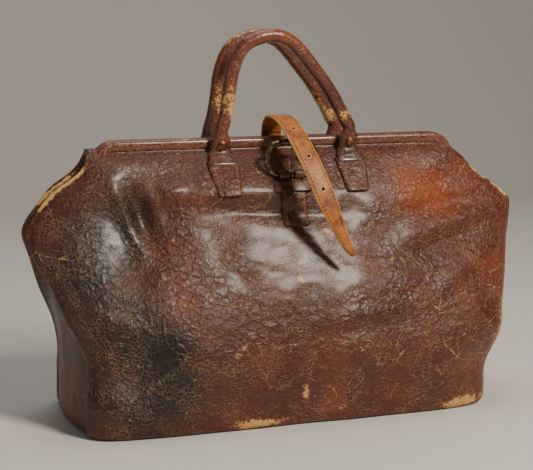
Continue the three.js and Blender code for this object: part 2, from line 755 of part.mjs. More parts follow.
legCentre.forEach((x, k) => {
  const half = barHeight / 2;
  const head = 1.2;
  const pin = rod(x - half - 0.4, x + half + 0.4, 0, hingeHeight, pinRadius, 20)
    .add(rod(x - half - 0.4 - head, x - half - 0.4, 0, hingeHeight, pinRadius * 2, 20))
    .add(rod(x + half + 0.4, x + half + 0.4 + head, 0, hingeHeight, pinRadius * 2, 20));
  add(`${k === 0 ? 'left' : 'right'}_hinge_pin`, pin, steel);
});
add('front_jaw_bar', jawBar(-1), steel);
add('rear_jaw_bar', mirrorY(jawBar(1)), steel);
add('front_jaw_cover', jawCover, handleLeather);
add('rear_jaw_cover', mirrorY(jawCover), handleLeather);
legX.forEach((x, k) => {
  const word = k === 0 ? 'left' : 'right';
  add(`front_tab_${word}`, handleTab(x), brownLeather);
  add(`rear_tab_${word}`, mirrorY(handleTab(x)), brownLeather);
  add(`front_handle_end_${word}`, handleNeck(x), handleLeather);
  add(`rear_handle_end_${word}`, mirrorY(handleNeck(x)), handleLeather);
  add(`front_rivet_${word}`, rivet(x), bronze);
  add(`rear_rivet_${word}`, mirrorY(rivet(x)), bronze);
});
add('front_handle_cover', handleCover, handleLeather);
add('rear_handle_cover', mirrorY(handleCover), handleLeather);
add('front_handle_rope', handleRope, finish('#b09a74', 0.9));
add('rear_handle_rope', mirrorY(handleRope), finish('#b09a74', 0.9));
add('buckle_chape', buckleChape(), brownLeather);
add('buckle_keeper', keeper(), brownLeather);
add('buckle_frame', buckleFrame(), bronze);
add('buckle_roller', buckleRoller, bronze);
add('buckle_prong', buckleProng(), bronze);
add('strap_base', strapBase(), strapLeather);
add('strap', strap(), strapLeather);

export default bag;
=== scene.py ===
"""An antique leather doctor bag: cracked glazed cowhide on a two-jaw frame, rolled handles and a strap."""

import math

import bpy
import numpy as np
from bpy.props import FloatProperty, FloatVectorProperty, IntProperty, PointerProperty
from mathutils import Matrix, Vector


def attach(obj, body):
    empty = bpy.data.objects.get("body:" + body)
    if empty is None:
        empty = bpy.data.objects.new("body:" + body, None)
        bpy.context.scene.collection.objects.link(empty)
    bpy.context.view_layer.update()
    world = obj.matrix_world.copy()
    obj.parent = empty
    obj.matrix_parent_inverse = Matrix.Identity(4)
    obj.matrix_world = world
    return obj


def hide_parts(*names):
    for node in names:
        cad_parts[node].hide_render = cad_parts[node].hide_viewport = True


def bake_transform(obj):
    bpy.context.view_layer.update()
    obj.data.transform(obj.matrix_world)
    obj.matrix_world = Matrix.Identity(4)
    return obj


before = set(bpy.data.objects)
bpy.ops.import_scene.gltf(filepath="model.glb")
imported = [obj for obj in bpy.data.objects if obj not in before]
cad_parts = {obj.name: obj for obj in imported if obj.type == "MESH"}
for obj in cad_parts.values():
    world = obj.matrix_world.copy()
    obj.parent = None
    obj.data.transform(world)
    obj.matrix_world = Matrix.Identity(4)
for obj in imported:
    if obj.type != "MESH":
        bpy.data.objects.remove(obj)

bl_info = {
    "name": "Leather doctor bag",
    "version": (1, 0, 0),
    "blender": (4, 5, 0),
    "location": "3D View > Sidebar > Doctor Bag",
    "description": "Builds a worn leather doctor bag round its frame",
    "category": "Add Mesh",
}

MM = 0.001

# ---- Fixed sizes, in millimetres ------------------------------------------------
BAG_LENGTH = 529.0
BAG_HEIGHT = 281.0
BAG_DEPTH = 202.0
BASE_SHIFT = -5.3
HINGE_Z = 0.73 * BAG_HEIGHT
PANEL_TOP = 273.0  # upper edge of the leather, tucked inside the jaws
DEPTH_TOP = 269.3  # the panels keep one depth above this height
FREE_TOP = 269.0  # folds die away over FREE_BAND below this height
FREE_BAND = 22
ROLL = 8.0  # radius of the rolled lower edge
FRAME_LEFT, FRAME_RIGHT = -197.0, 197.0
FRAME_FACE = 10.8
CENTRE_X = 0.0
SIDES = ((-1, "front"), (1, "rear"))
HANDLE_PIVOT = (19.3, 288.3)
HANDLE_CENTRE, HANDLE_SPAN, HANDLE_RISE = 2.0, 139.0, 95.0
LEG_X = (-67.5, 71.5)
LAP_END = 254.0
BUCKLE_PIVOT = (-39.803, 244.892)
BUCKLE_HEIGHT = 33.0
STRAP_PIVOT = (16.8, 283.0)
STRAP_ARC = 94.77
STRAP_TURN = math.radians(86)
STRAP_TAIL = 44.0
STRAP_RISE = 0.14  # share of the strap behind the rear jaw
STRAP_DRIFT = 43.0  # sideways lean of the tip
STRAP_HOLES = (0.35, 0.53, 0.69)  # shares of the strap's length
BAR_HALF, BOW_REACH = 13.0, 17.0  # buckle: half a straight bar, and the bows' reach
JAW_INSET, JAW_CORNER = 6.0, 25.0
JAW_HALF_HEIGHT, JAW_HALF_DEPTH = 6.0, 5.2
JAW_OFFSET = 0.3 + 5.25  # from the parting plane to a jaw's centre line
CHAPE_HALF, CHAPE_FOOT = 13.6, 195.5
TAB_FOOT, TAB_TOP = 0.807 * BAG_HEIGHT, 0.92 * BAG_HEIGHT
RIVET_RADIUS, RIVET_RISE = 5.0, 2.7

# ---- How finely the surfaces are divided, and how deep the layers lie ---------
PANEL_COLUMNS, END_COLUMNS = 210, 34
LINING_ROWS, LINING_PANEL, LINING_END = 60, 90, 16
LINING_FACE, LINING_BACK = 7.6, 8.4  # millimetres inside the leather's outer face
LINING_DROP = 12.0  # the lining stops this far below the leather's upper edge

# Stations are (share of height, share of half length or half depth). SQUARENESS has an exponent as
# its second value, and HANDLE_SHAPE is (share of the span, share of the rise).
LEFT_EDGE = [(0, 0.81), (0.21, 0.812), (0.324, 0.84), (0.406, 0.88), (0.517, 0.926),
             (0.608, 0.968), (0.7, 0.993), (0.819, 0.903), (0.895, 0.792), (0.96, 0.763)]
RIGHT_EDGE = [(0, 0.794), (0.1, 0.792), (0.156, 0.81), (0.204, 0.832), (0.36, 0.89),
              (0.57, 0.957), (0.725, 1), (0.776, 0.955), (0.833, 0.87), (0.89, 0.8),
              (0.93, 0.745), (0.96, 0.722)]
MIDDLE_DEPTH = [(0, 0.96), (0.08, 0.99), (0.25, 1), (0.4, 0.9), (0.56, 0.72), (0.73, 0.5),
                (0.82, 0.41), (0.9, 0.265), (0.96, 0.112)]
EDGE_DEPTH = [(0, 0.7), (0.25, 0.68), (0.45, 0.42), (0.6, 0.22), (0.72, 0.1), (0.96, 0.1)]
SQUARENESS = [(0, 8), (0.25, 6), (0.5, 3), (0.73, 2.2), (0.9, 3.5), (0.96, 6)]
END_TUCK = [(0, -0.03), (0.25, -0.03), (0.5, 0.04), (0.73, 0.14), (0.84, 0.09), (0.96, 0.0)]
HANDLE_SHAPE = [(-0.5, 0), (-0.457, 0.23), (-0.409, 0.652), (-0.314, 0.9), (-0.126, 1),
                (0.036, 0.94), (0.226, 0.638), (0.349, 0.398), (0.5, 0.02)]


# ---- Small mathematics ---------------------------------------------------------
def through_stations(stations, share):
    """A cubic Hermite curve through the stations; its slope at each is that of its neighbours' chord."""
    s = np.array(stations, float)
    share = np.asarray(share, float)
    k = np.clip(np.searchsorted(s[:, 0], share, side="right") - 1, 0, len(s) - 2)
    before = np.clip(np.arange(len(s)) - 1, 0, len(s) - 1)
    after = np.clip(np.arange(len(s)) + 1, 0, len(s) - 1)
    slope = (s[after, 1] - s[before, 1]) / (s[after, 0] - s[before, 0])
    step = s[k + 1, 0] - s[k, 0]
    t = np.clip((share - s[k, 0]) / step, 0, 1)
    rise = s[k + 1, 1] - s[k, 1]
    return (
        s[k, 1]
        + t * step * slope[k] * (1 - t) ** 2
        + t * t * (3 - 2 * t) * rise
        - t * t * (1 - t) * step * slope[k + 1]
    )


def smooth(x, low, high):
    """0 below low, 1 above high, and 3t^2 - 2t^3 between them."""
    t = np.clip((x - low) / (high - low), 0, 1)
    return t * t * (3 - 2 * t)


def noise(x, y, cell, seed):
    """Value noise of -1 to 1: random values on a square lattice, blended smoothly inside each cell."""
    table = np.random.default_rng(seed).uniform(-1, 1, (257, 257))
    gx, gy = x / cell + 64, y / cell + 64
    ix, iy = np.floor(gx).astype(int), np.floor(gy).astype(int)
    fx, fy = smooth(gx - ix, 0, 1), smooth(gy - iy, 0, 1)
    ix, iy = ix % 256, iy % 256
    low = table[ix, iy] * (1 - fx) + table[ix + 1, iy] * fx
    high = table[ix, iy + 1] * (1 - fx) + table[ix + 1, iy + 1] * fx
    return low * (1 - fy) + high * fy


def ridge(x, z, start, end, width, height):
    """A fold along the line start to end: height times a bell curve of the distance from it."""
    dx, dz = end[0] - start[0], end[1] - start[1]
    t = np.clip(((x - start[0]) * dx + (z - start[1]) * dz) / (dx * dx + dz * dz), 0, 1)
    away = np.hypot(x - start[0] - t * dx, z - start[1] - t * dz)
    fade = 0.25 + 0.75 * np.sin(np.pi * np.clip(t, 0.02, 0.98))
    return height * fade * np.exp(-((away / width) ** 2))


def dome(x, z, at, reach_x, reach_z, height):
    """A soft hill, or a hollow where height is negative: a bell curve in x and in z."""
    return height * np.exp(-(((x - at[0]) / reach_x) ** 2) - ((z - at[1]) / reach_z) ** 2)


def circle(sides):
    """Angles of evenly spaced points round a circle, as one row."""
    return np.linspace(0, 2 * np.pi, sides, endpoint=False)[None]


def directions(line):
    """Unit directions along a line of points."""
    along = np.gradient(line, axis=0)
    return along / np.linalg.norm(along, axis=1, keepdims=True)


def lengths_along(line):
    """Length of the line from its start to each of its points."""
    gaps = np.linalg.norm(np.diff(line, axis=0), axis=1)
    return np.concatenate([[0], np.cumsum(gaps)])


def sampled(at, far, line):
    """The points of a line at the given lengths along it."""
    return np.stack([np.interp(at, far, column) for column in line.T], -1)


def cubic(t, corners):
    """A cubic Bezier curve over its four corners."""
    p = np.array(corners, float)
    return ((1 - t) ** 3 * p[0] + 3 * t * (1 - t) ** 2 * p[1] + 3 * t * t * (1 - t) * p[2]
            + t**3 * p[3])


def squarish(value, power):
    """A sine or cosine with its size raised to a power, which flattens a round section's sides."""
    return np.sign(value) * np.abs(value) ** power


def bell(value, width):
    """A bell curve, 1 at 0."""
    return np.exp(-((value / width) ** 2))


def normals_of(points):
    """Unit normals of a grid of points: the cross product of its two directions."""
    across = np.gradient(points, axis=1)
    up = np.gradient(points, axis=0)
    n = np.cross(across, up)
    return n / np.maximum(np.linalg.norm(n, axis=2, keepdims=True), 1e-9)


# ---- Meshes ---------------------------------------------------------------------
def make_piece(name, points, faces, uv=None, attributes=None):
    """An object at the origin from points in millimetres and an array of four-sided faces."""
    mesh = bpy.data.meshes.new(name)
    faces = np.asarray(faces, np.int32)
    mesh.vertices.add(len(points))
    mesh.vertices.foreach_set("co", (np.asarray(points, np.float32) * MM).ravel())
    mesh.loops.add(faces.size)
    mesh.loops.foreach_set("vertex_index", faces.ravel())
    mesh.polygons.add(len(faces))
    width = faces.shape[1]
    mesh.polygons.foreach_set("loop_start", np.arange(0, faces.size, width, dtype=np.int32))
    mesh.polygons.foreach_set("use_smooth", np.full(len(faces), True))
    mesh.update(calc_edges=True)
    if uv is not None:
        layer = mesh.uv_layers.new(name="UVMap")
        layer.data.foreach_set("uv", np.asarray(uv, np.float32)[faces.ravel()].ravel())
    for key, values in (attributes or {}).items():
        data = mesh.attributes.new(key, "FLOAT", "POINT")
        data.data.foreach_set("value", np.asarray(values, np.float32).ravel())
    mesh.validate()
    obj = bpy.data.objects.new(name, mesh)
    bpy.context.scene.collection.objects.link(obj)
    return obj


def face_out(points, faces):
    """The faces, all turned over if together they enclose a negative volume."""
    a, b, c = (points[faces[:, k]] for k in (0, 1, 2))
    d = points[faces[:, -1]]
    volume = (a * np.cross(b, c)).sum() + (a * np.cross(c, d)).sum()
    return faces[:, ::-1] if volume < 0 else faces


def grid_faces(rows, columns, wrap=False):
    """Four-sided faces of a rows by columns grid; wrap joins the last column to the first."""
    across = columns if wrap else columns - 1
    j, i = np.meshgrid(np.arange(rows - 1), np.arange(across), indexing="ij")
    n = (i + 1) % columns
    a, b = j * columns + i, j * columns + n
    return np.stack([a, b, b + columns, a + columns], -1).reshape(-1, 4)


def slab(name, outer, inner, uv=None, attributes=None):
    """A closed sheet between two grids of points, with a rim along their four edges."""
    rows, columns = outer.shape[:2]
    size = rows * columns
    points = np.concatenate([outer.reshape(-1, 3), inner.reshape(-1, 3)])
    front = grid_faces(rows, columns)
    index = np.arange(size).reshape(rows, columns)
    border = np.concatenate([index[0, :], index[1:, -1], index[-1, -2::-1], index[-2:0:-1, 0]])
    after = np.roll(border, -1)
    rim = np.stack([after, border, border + size, after + size], -1)
    faces = np.concatenate([front, front[:, ::-1] + size, rim])
    faces = face_out(points, faces)
    both = None if uv is None else np.concatenate([uv.reshape(-1, 2)] * 2)
    doubled = {k: np.concatenate([v.ravel()] * 2) for k, v in (attributes or {}).items()}
    return make_piece(name, points, faces, both, doubled)


def tube(name, rings, uv=None, closed=False, attributes=None):
    """A skin over rings of points; the last ring joins the first if closed, else ends shrink shut."""
    rows, columns = rings.shape[:2]
    if not closed:
        middle_a, middle_b = rings[:1].mean(1, keepdims=True), rings[-1:].mean(1, keepdims=True)
        rings = np.concatenate([
            middle_a + (rings[:1] - middle_a) * 0.01,
            middle_a + (rings[:1] - middle_a) * 0.6,
            rings,
            middle_b + (rings[-1:] - middle_b) * 0.6,
            middle_b + (rings[-1:] - middle_b) * 0.01,
        ])
        if uv is not None:
            uv = np.concatenate([uv[:1], uv[:1], uv, uv[-1:], uv[-1:]])
        if attributes:
            attributes = {k: np.concatenate([v[:1], v[:1], v, v[-1:], v[-1:]])
                          for k, v in attributes.items()}
        rows += 4
    points = rings.reshape(-1, 3)
    faces = grid_faces(rows, columns, wrap=True)
    if closed:
        last = (rows - 1) * columns + np.arange(columns)
        first = np.arange(columns)
        faces = np.concatenate([
            faces,
            np.stack([last, np.roll(last, -1), np.roll(first, -1), first], -1),
        ])
    faces = face_out(points, faces)
    flat = None if uv is None else uv.reshape(-1, 2)
    return make_piece(name, points, faces, flat,
                      {k: v.ravel() for k, v in (attributes or {}).items()})


def seal(obj):
    """Merges the tiny end rings of a tube, which closes its poles."""
    weld = obj.modifiers.new("Poles", "WELD")
    weld.merge_threshold = 0.00012
    return obj


def many(name, template, faces, places):
    """Copies of one small shape: template points turned by each place's axes and set at its point."""
    points = np.einsum("nij,vj->nvi", places[0], template) + places[1][:, None, :]
    offset = (np.arange(len(points)) * len(template))[:, None, None]
    return make_piece(name, points.reshape(-1, 3), (faces[None] + offset).reshape(-1, faces.shape[1]))


def stitch_shape(length, radius):
    """One stitch: a spindle along X, sine-shaped from end to end, with closed tips."""
    rows, sides = 6, 6
    t = np.linspace(0, 1, rows)[:, None]
    a = circle(sides)
    r = radius * np.maximum(np.sin(np.pi * t), 0.08) ** 0.5
    x = (t - 0.5) * length + 0 * a
    ring = np.stack([x, r * np.cos(a), r * np.sin(a)], -1)
    faces = grid_faces(rows, sides, wrap=True)
    points = ring.reshape(-1, 3)
    return points, face_out(points, faces)


def place_along(line, outward, spacing):
    """Places at even spacing along a line: X runs along it and Z out of the surface."""
    far = lengths_along(line)
    at = np.arange(spacing * 0.5, far[-1] - spacing * 0.3, spacing)
    point = sampled(at, far, line)
    along = sampled(at + 0.5, far, line) - sampled(at - 0.5, far, line)
    along /= np.linalg.norm(along, axis=1, keepdims=True)
    out = sampled(at, far, outward)
    side = np.cross(out, along)
    side /= np.linalg.norm(side, axis=1, keepdims=True)
    out = np.cross(along, side)
    return np.stack([along, side, out], -1), point


# ---- The leather body's surface ----------------------------------------------------
def edge_left(z):
    shift = BASE_SHIFT * (1 - np.minimum(1, z / HINGE_Z))
    return shift - BAG_LENGTH / 2 * through_stations(LEFT_EDGE, z / BAG_HEIGHT)


def edge_right(z):
    shift = BASE_SHIFT * (1 - np.minimum(1, z / HINGE_Z))
    return shift + BAG_LENGTH / 2 * through_stations(RIGHT_EDGE, z / BAG_HEIGHT)


def edge_depth(z):
    return BAG_DEPTH / 2 * through_stations(EDGE_DEPTH, z / BAG_HEIGHT)


def panel_depth(x, z):
    """Distance of the panel from y = 0: edge depth plus the rest times the root of 1 - along^squareness."""
    z = np.minimum(z, DEPTH_TOP)
    left, right = edge_left(z), edge_right(z)
    along = np.minimum(1, np.abs(x - (left + right) / 2) / ((right - left) / 2))
    rounded = 1 - along ** through_stations(SQUARENESS, z / BAG_HEIGHT)
    deep = BAG_DEPTH / 2 * through_stations(MIDDLE_DEPTH, z / BAG_HEIGHT)
    return edge_depth(z) + (deep - edge_depth(z)) * np.sqrt(np.maximum(0, rounded))


# Hills are (place, reach in x, reach in z, height), with hollows below 0; creases are (start, end,
# width, height).
FRONT_HILLS = [
    ((-68, 228), 75, 16, 5.0), ((92, 210), 60, 22, 3.0), ((-158, 210), 26, 34, -9.0),
    ((-176, 154), 30, 40, -5.0), ((-173, 64), 34, 38, -10.0), ((-203, 23), 22, 26, 5.0),
    ((32, 123), 120, 60, 6.0), ((-8, 21), 34, 22, -5.0), ((197, 49), 26, 20, -7.0),
    ((182, 234), 30, 16, -5.0),
]
FRONT_CREASES = [
    ((-184, 244), (-158, 172), 7, 4.5), ((-166, 242), (-144, 180), 6, -4.5),
    ((-150, 238), (-136, 195), 5, 3.5), ((-148, 219), (-112, 238), 6, 3.0),
    ((-128, 219), (52, 201), 9, -3.5), ((238, 201), (112, 176), 9, 4.5),
    ((230, 189), (102, 154), 8, -3.0), ((228, 213), (122, 205), 8, -3.5),
    ((220, 164), (142, 123), 9, 2.5), ((-222, 123), (-158, 103), 8, 2.5),
    ((-38, 62), (112, 76), 8, 1.6), ((-28, 86), (122, 98), 7, -1.6),
    ((2, 103), (132, 115), 7, 1.4),
]
REAR_HILLS = [
    ((-8, 123), 130, 60, 5.0), ((-148, 195), 40, 30, -6.0), ((142, 205), 40, 26, -6.0),
    ((162, 62), 36, 34, -7.0),
]
REAR_CREASES = [
    ((-248, 195), (-118, 164), 9, 4.0), ((232, 205), (112, 168), 9, 4.0),
    ((-128, 62), (82, 72), 9, -2.4), ((-98, 219), (62, 211), 9, -3.0),
]


def panel_folds(side, x, z):
    """Dents and folds of one panel, in millimetres outwards: hills, hollows and creases added up."""
    hills = FRONT_HILLS if side < 0 else REAR_HILLS
    creases = FRONT_CREASES if side < 0 else REAR_CREASES
    d = sum(dome(x, z, *hill) for hill in hills)
    for crease in creases:
        d = d + ridge(x, z, *crease)
    return d


def freedom(z):
    """How far the leather is free to fold: less near the base and not at all at the frame."""
    return smooth(FREE_TOP - z, 0, FREE_BAND) * (0.35 + 0.65 * smooth(z, 0, 40))


def half_shell(side, rows, front_columns, end_columns, inset):
    """Points of half the bag, from one end fold's centre line round the panel to the other's.

    For each height z the section runs x = edge - tuck (1 - t^1.6), y = depth t over the first
    end fold, x = middle + half sin(angle), y = panel depth over the panel, and back over the
    second end fold. The folds are added along the normal, the lower edge is rolled under on an
    8 mm radius, and side is -1 for the front half and 1 for the rear half.
    """
    z = np.linspace(ROLL, PANEL_TOP, rows)[:, None]
    left, right, depth = edge_left(z), edge_right(z), edge_depth(z)
    tuck = BAG_LENGTH / 2 * through_stations(END_TUCK, z / BAG_HEIGHT)
    t = np.linspace(0, 1, end_columns)[None, :-1]
    angle = np.linspace(-0.5, 0.5, front_columns)[None] * np.pi
    bend = 1 - t**1.6
    x_panel = (left + right) / 2 + (right - left) / 2 * np.sin(angle)
    x = np.concatenate([left + tuck * bend, x_panel, (right - tuck * bend)[:, ::-1]], 1)
    y = np.concatenate([depth * t, panel_depth(x_panel, z), (depth * t)[:, ::-1]], 1)
    z = z + 0 * x
    for _ in range(3):
        x[:, 1:-1] = (x[:, :-2] + 2 * x[:, 1:-1] + x[:, 2:]) / 4
        y[:, 1:-1] = (y[:, :-2] + 2 * y[:, 1:-1] + y[:, 2:]) / 4
    points = np.stack([x, -y, z], -1)
    out = normals_of(points)
    if out[rows // 2, out.shape[1] // 2, 1] > 0:
        out = -out
    share = np.concatenate([t + 0 * left, 1 + 0 * x_panel, t[:, ::-1] + 0 * left], 1)
    facing = smooth(share, 0.5, 1.0)
    folds = panel_folds(side, x, z)
    seed = 11 if side < 0 else 47
    drape = noise(x, z * 1.3, 46, seed) * 2.0 + noise(x, z, 21, seed + 1) * 0.6
    drape += noise(x * 0.8, z * 1.6, 9, seed + 2) * 0.18
    end_drape = noise(y, z, 34, seed + 3) * 1.6 + noise(y, z, 14, seed + 4) * 0.6
    free = freedom(z)
    lift = facing * (folds + drape) + (1 - facing) * smooth(share, 0.02, 0.3) * end_drape
    seam = np.exp(-(((share - 1) * depth) / 3.0) ** 2) * np.exp(
        -((np.abs(np.abs(np.sin(np.concatenate([0 * t - np.pi / 2, angle, 0 * t + np.pi / 2], 1)))
           - 1)) / 0.004) ** 2)
    lift = lift * free + 1.6 * seam * smooth(PANEL_TOP - z, 0, 20)
    points = points + out * (lift - inset)[..., None]
    points[..., 1] += 2.8 * smooth(z, 261, 271)
    points[..., 1] = np.minimum(points[..., 1], -0.15)
    flat = out[:1].copy()
    flat[..., 2] = 0
    flat /= np.maximum(np.linalg.norm(flat, axis=2, keepdims=True), 1e-6)
    roll = np.linspace(math.pi / 2, 0, 7)[:-1, None, None]
    under = points[:1] - flat * (ROLL - inset * 0.5) * (1 - np.cos(roll))
    under[..., 2] = ROLL - (ROLL - 0.1 - inset * 0.8) * np.sin(roll[..., 0])
    tongue = under[:1] - flat * 14
    points = np.concatenate([tongue, under, points])
    points[..., 1] = np.minimum(points[..., 1], -0.15)
    if side > 0:
        points[..., 1] *= -1
    share = np.concatenate([share[:1]] * 7 + [share])
    return points, share


def body_marks(points, share, side):
    """Three values for each point: wear, 0 to 1; a colour value from -1 nearly black to 1 warm
    orange-brown, which holds random tone, painted shade in hollows, on the left end and below the
    frame's middle, and painted light on the upper right and along the lower edge; and coarse, the
    share of big plates, 0 to 1."""
    x, z = points[..., 0], points[..., 2]
    left, right = x - edge_left(z), edge_right(z) - x
    from_end = np.minimum(left, right)
    seam = smooth(share, 0.75, 1.0) * bell(from_end, 7.0)
    patchy = 0.5 + 0.5 * noise(x, z, 17, 5)
    wear = 0.34 * seam * patchy
    wear += 0.95 * bell(left, 3.0) * smooth(z, 208, 222) * smooth(264 - z, 0, 14)
    wear += 0.8 * bell(right, 5.0) * smooth(z, 200, 212) * smooth(
        258 - z, 0, 20) * (0.3 + patchy)
    wear += 0.6 * bell(right, 15.0) * smooth(z, 50, 62) * smooth(118 - z, 0, 16)
    wear += dome(x, z, (174, 8), 26, 8, 0.9)
    wear += dome(x, z, (-54, 7), 26, 6, 0.85)
    wear += dome(x, z, (-6, 34), 4.5, 11, 0.9)
    wear += dome(x, z, (-176, 66), 26, 20, 0.5) * patchy
    wear += 0.45 * bell(z - 5, 6.0) * patchy
    wear += dome(x, z, (-128, 186), 5, 5, 0.5)
    tone = 0.25 * noise(x, z, 60, 8) + 0.2 * noise(x, z, 25, 9)
    # Darker towards the left end and warmer towards the right.
    tone += 0.3 * smooth(x, 60, 220) - 0.25 * smooth(-x, 60, 160) - 0.1
    # Painted shade: the hollow low on the left is darkened.
    tone += dome(x, z, (-158, 62), 34, 44, -1.0)
    # Painted shade on the left end, which is turned away from the light.
    tone += dome(x, z, (-213, 165), 26, 34, -0.9)
    # Painted shade: the hollow high on the left is darkened.
    tone += dome(x, z, (-168, 205), 24, 30, -0.9)
    # Painted light: the upper right, where the highlight falls, is made warmer and paler.
    tone += dome(x, z, (157, 224), 50, 26, 0.95)
    # Painted light: a paler band along the rolled lower edge.
    tone += 0.15 * bell(z - 14, 12.0)
    # A lighter patch low on the left.
    tone += dome(x, z, (-128, 130), 36, 30, 0.75)
    # Painted shade: a darker band below the middle of the frame.
    tone += dome(x, z, (22, 210), 60, 26, -0.35)
    # The end folds are lighter below 120 mm.
    tone += 0.8 * (1 - smooth(share, 0.3, 0.95)) * smooth(120 - z, 0, 60)
    coarse = dome(x, z, (52, 110), 130, 80, 0.9)
    coarse += dome(x, z, (-18, 205), 120, 34, 0.5)
    coarse += dome(x, z, (207, 120), 50, 100, 0.5)
    coarse += dome(x, z, (-243, 185), 24, 34, 0.6)
    if side > 0:
        wear = wear * 0.8
        coarse = coarse * 0.8 + 0.2
    return {"wear": np.clip(wear, 0, 1), "tone": np.clip(tone, -1, 1),
            "coarse": np.clip(coarse, 0, 1)}


def fold_with_jaw(obj):
    """Bakes the piece's transform into its mesh."""
    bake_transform(obj)
    return obj


# ---- Materials -------------------------------------------------------------------
def linear(hex_colour):
    """An sRGB hex colour as linear RGBA."""
    value = hex_colour.lstrip("#")
    srgb = [int(value[k:k + 2], 16) / 255 for k in (0, 2, 4)]
    return tuple(c / 12.92 if c <= 0.04045 else ((c + 0.055) / 1.055) ** 2.4 for c in srgb) + (1,)


def add_node(tree, kind, links=None, **settings):
    """A node with its settings; links maps its inputs to sockets or to values."""
    node = tree.nodes.new(kind)
    for key, value in settings.items():
        setattr(node, key, value)
    for key, value in (links or {}).items():
        if isinstance(value, bpy.types.NodeSocket):
            tree.links.new(value, node.inputs[key])
        else:
            node.inputs[key].default_value = value
    return node


def new_material(name):
    """An empty node material with its output and its shader."""
    material = bpy.data.materials.new(name)
    material.use_nodes = True
    tree = material.node_tree
    tree.nodes.clear()
    shader = tree.nodes.new("ShaderNodeBsdfPrincipled")
    output = tree.nodes.new("ShaderNodeOutputMaterial")
    tree.links.new(shader.outputs["BSDF"], output.inputs["Surface"])
    return material, tree, shader


def blend_value(tree, low, high, value, out_low=0.0, out_high=1.0):
    """A smooth step of a value from low to high, as a socket."""
    node = add_node(tree, "ShaderNodeMapRange", {
        "Value": value, "From Min": low, "From Max": high,
        "To Min": out_low, "To Max": out_high}, interpolation_type="SMOOTHSTEP")
    return node.outputs["Result"]


def calculate(tree, operation, first, second=0.0, clamp=False):
    """One arithmetic step, as a socket."""
    node = add_node(tree, "ShaderNodeMath", {0: first, 1: second}, operation=operation)
    node.use_clamp = clamp
    return node.outputs[0]


def plus_part(tree, first, second, part):
    """first + second * part, as a socket."""
    return calculate(tree, "ADD", first, calculate(tree, "MULTIPLY", second, part))


def centred(tree, value):
    """The value less a half, as a socket."""
    return calculate(tree, "SUBTRACT", value, 0.5)


def mix_colour(tree, share, first, second):
    """Colour first where share is 0 and second where it is 1, as a socket."""
    node = add_node(tree, "ShaderNodeMix", {0: share, 6: first, 7: second}, data_type="RGBA")
    return node.outputs[2]


def pattern_noise(tree, where, size_mm, detail=3.0, rough=0.5):
    """Fractal noise with lumps of the given size."""
    node = add_node(tree, "ShaderNodeTexNoise", {
        "Vector": where, "Scale": 1 / (size_mm * MM), "Detail": detail, "Roughness": rough})
    return node.outputs["Fac"]


def raise_grain(tree, shader, height, strength, distance):
    """Joins a height to the shader as a bump; distance is in metres."""
    bump = add_node(tree, "ShaderNodeBump", {
        "Height": height, "Strength": strength, "Distance": distance})
    tree.links.new(bump.outputs["Normal"], shader.inputs["Normal"])


def plates(tree, where, size_mm, width, stretch=(1.0, 1.0, 1.0)):
    """Irregular plates: 1 along their borders and 0 inside, and the height of each tilted plate."""
    scaled = add_node(tree, "ShaderNodeMapping", {"Vector": where, "Scale": stretch}).outputs[0]
    links = {"Vector": scaled, "Scale": 1 / (size_mm * MM)}
    edge = add_node(tree, "ShaderNodeTexVoronoi", links, feature="DISTANCE_TO_EDGE")
    cell = add_node(tree, "ShaderNodeTexVoronoi", links, feature="F1")
    lines = blend_value(tree, 0.0, width, edge.outputs["Distance"], 1.0, 0.0)
    away = add_node(tree, "ShaderNodeVectorMath", {0: scaled, 1: cell.outputs["Position"]},
                    operation="SUBTRACT")
    lean = add_node(tree, "ShaderNodeVectorMath", {
        0: cell.outputs["Color"], 1: (0.5, 0.5, 0.5)}, operation="SUBTRACT")
    tilt = add_node(tree, "ShaderNodeVectorMath", {0: away.outputs[0], 1: lean.outputs[0]},
                    operation="DOT_PRODUCT")
    curl = blend_value(tree, 0.0, 0.22, edge.outputs["Distance"], 0.35, 0.0)
    height = calculate(tree, "ADD", calculate(
        tree, "MULTIPLY", tilt.outputs["Value"], 1 / (0.0042 * size_mm * 0.5)), curl)
    return lines, height


def warped(tree, where, size_mm, amount_mm):
    """The coordinates pushed about by noise, so that straight borders wander."""
    noise_node = add_node(tree, "ShaderNodeTexNoise", {
        "Vector": where, "Scale": 1 / (size_mm * MM), "Detail": 2.0})
    lean = add_node(tree, "ShaderNodeVectorMath", {
        0: noise_node.outputs["Color"], 1: (0.5, 0.5, 0.5)}, operation="SUBTRACT")
    pushed = add_node(tree, "ShaderNodeVectorMath", {
        0: lean.outputs[0], "Scale": amount_mm * MM}, operation="SCALE")
    moved = add_node(tree, "ShaderNodeVectorMath", {0: where, 1: pushed.outputs[0]}, operation="ADD")
    return moved.outputs[0]


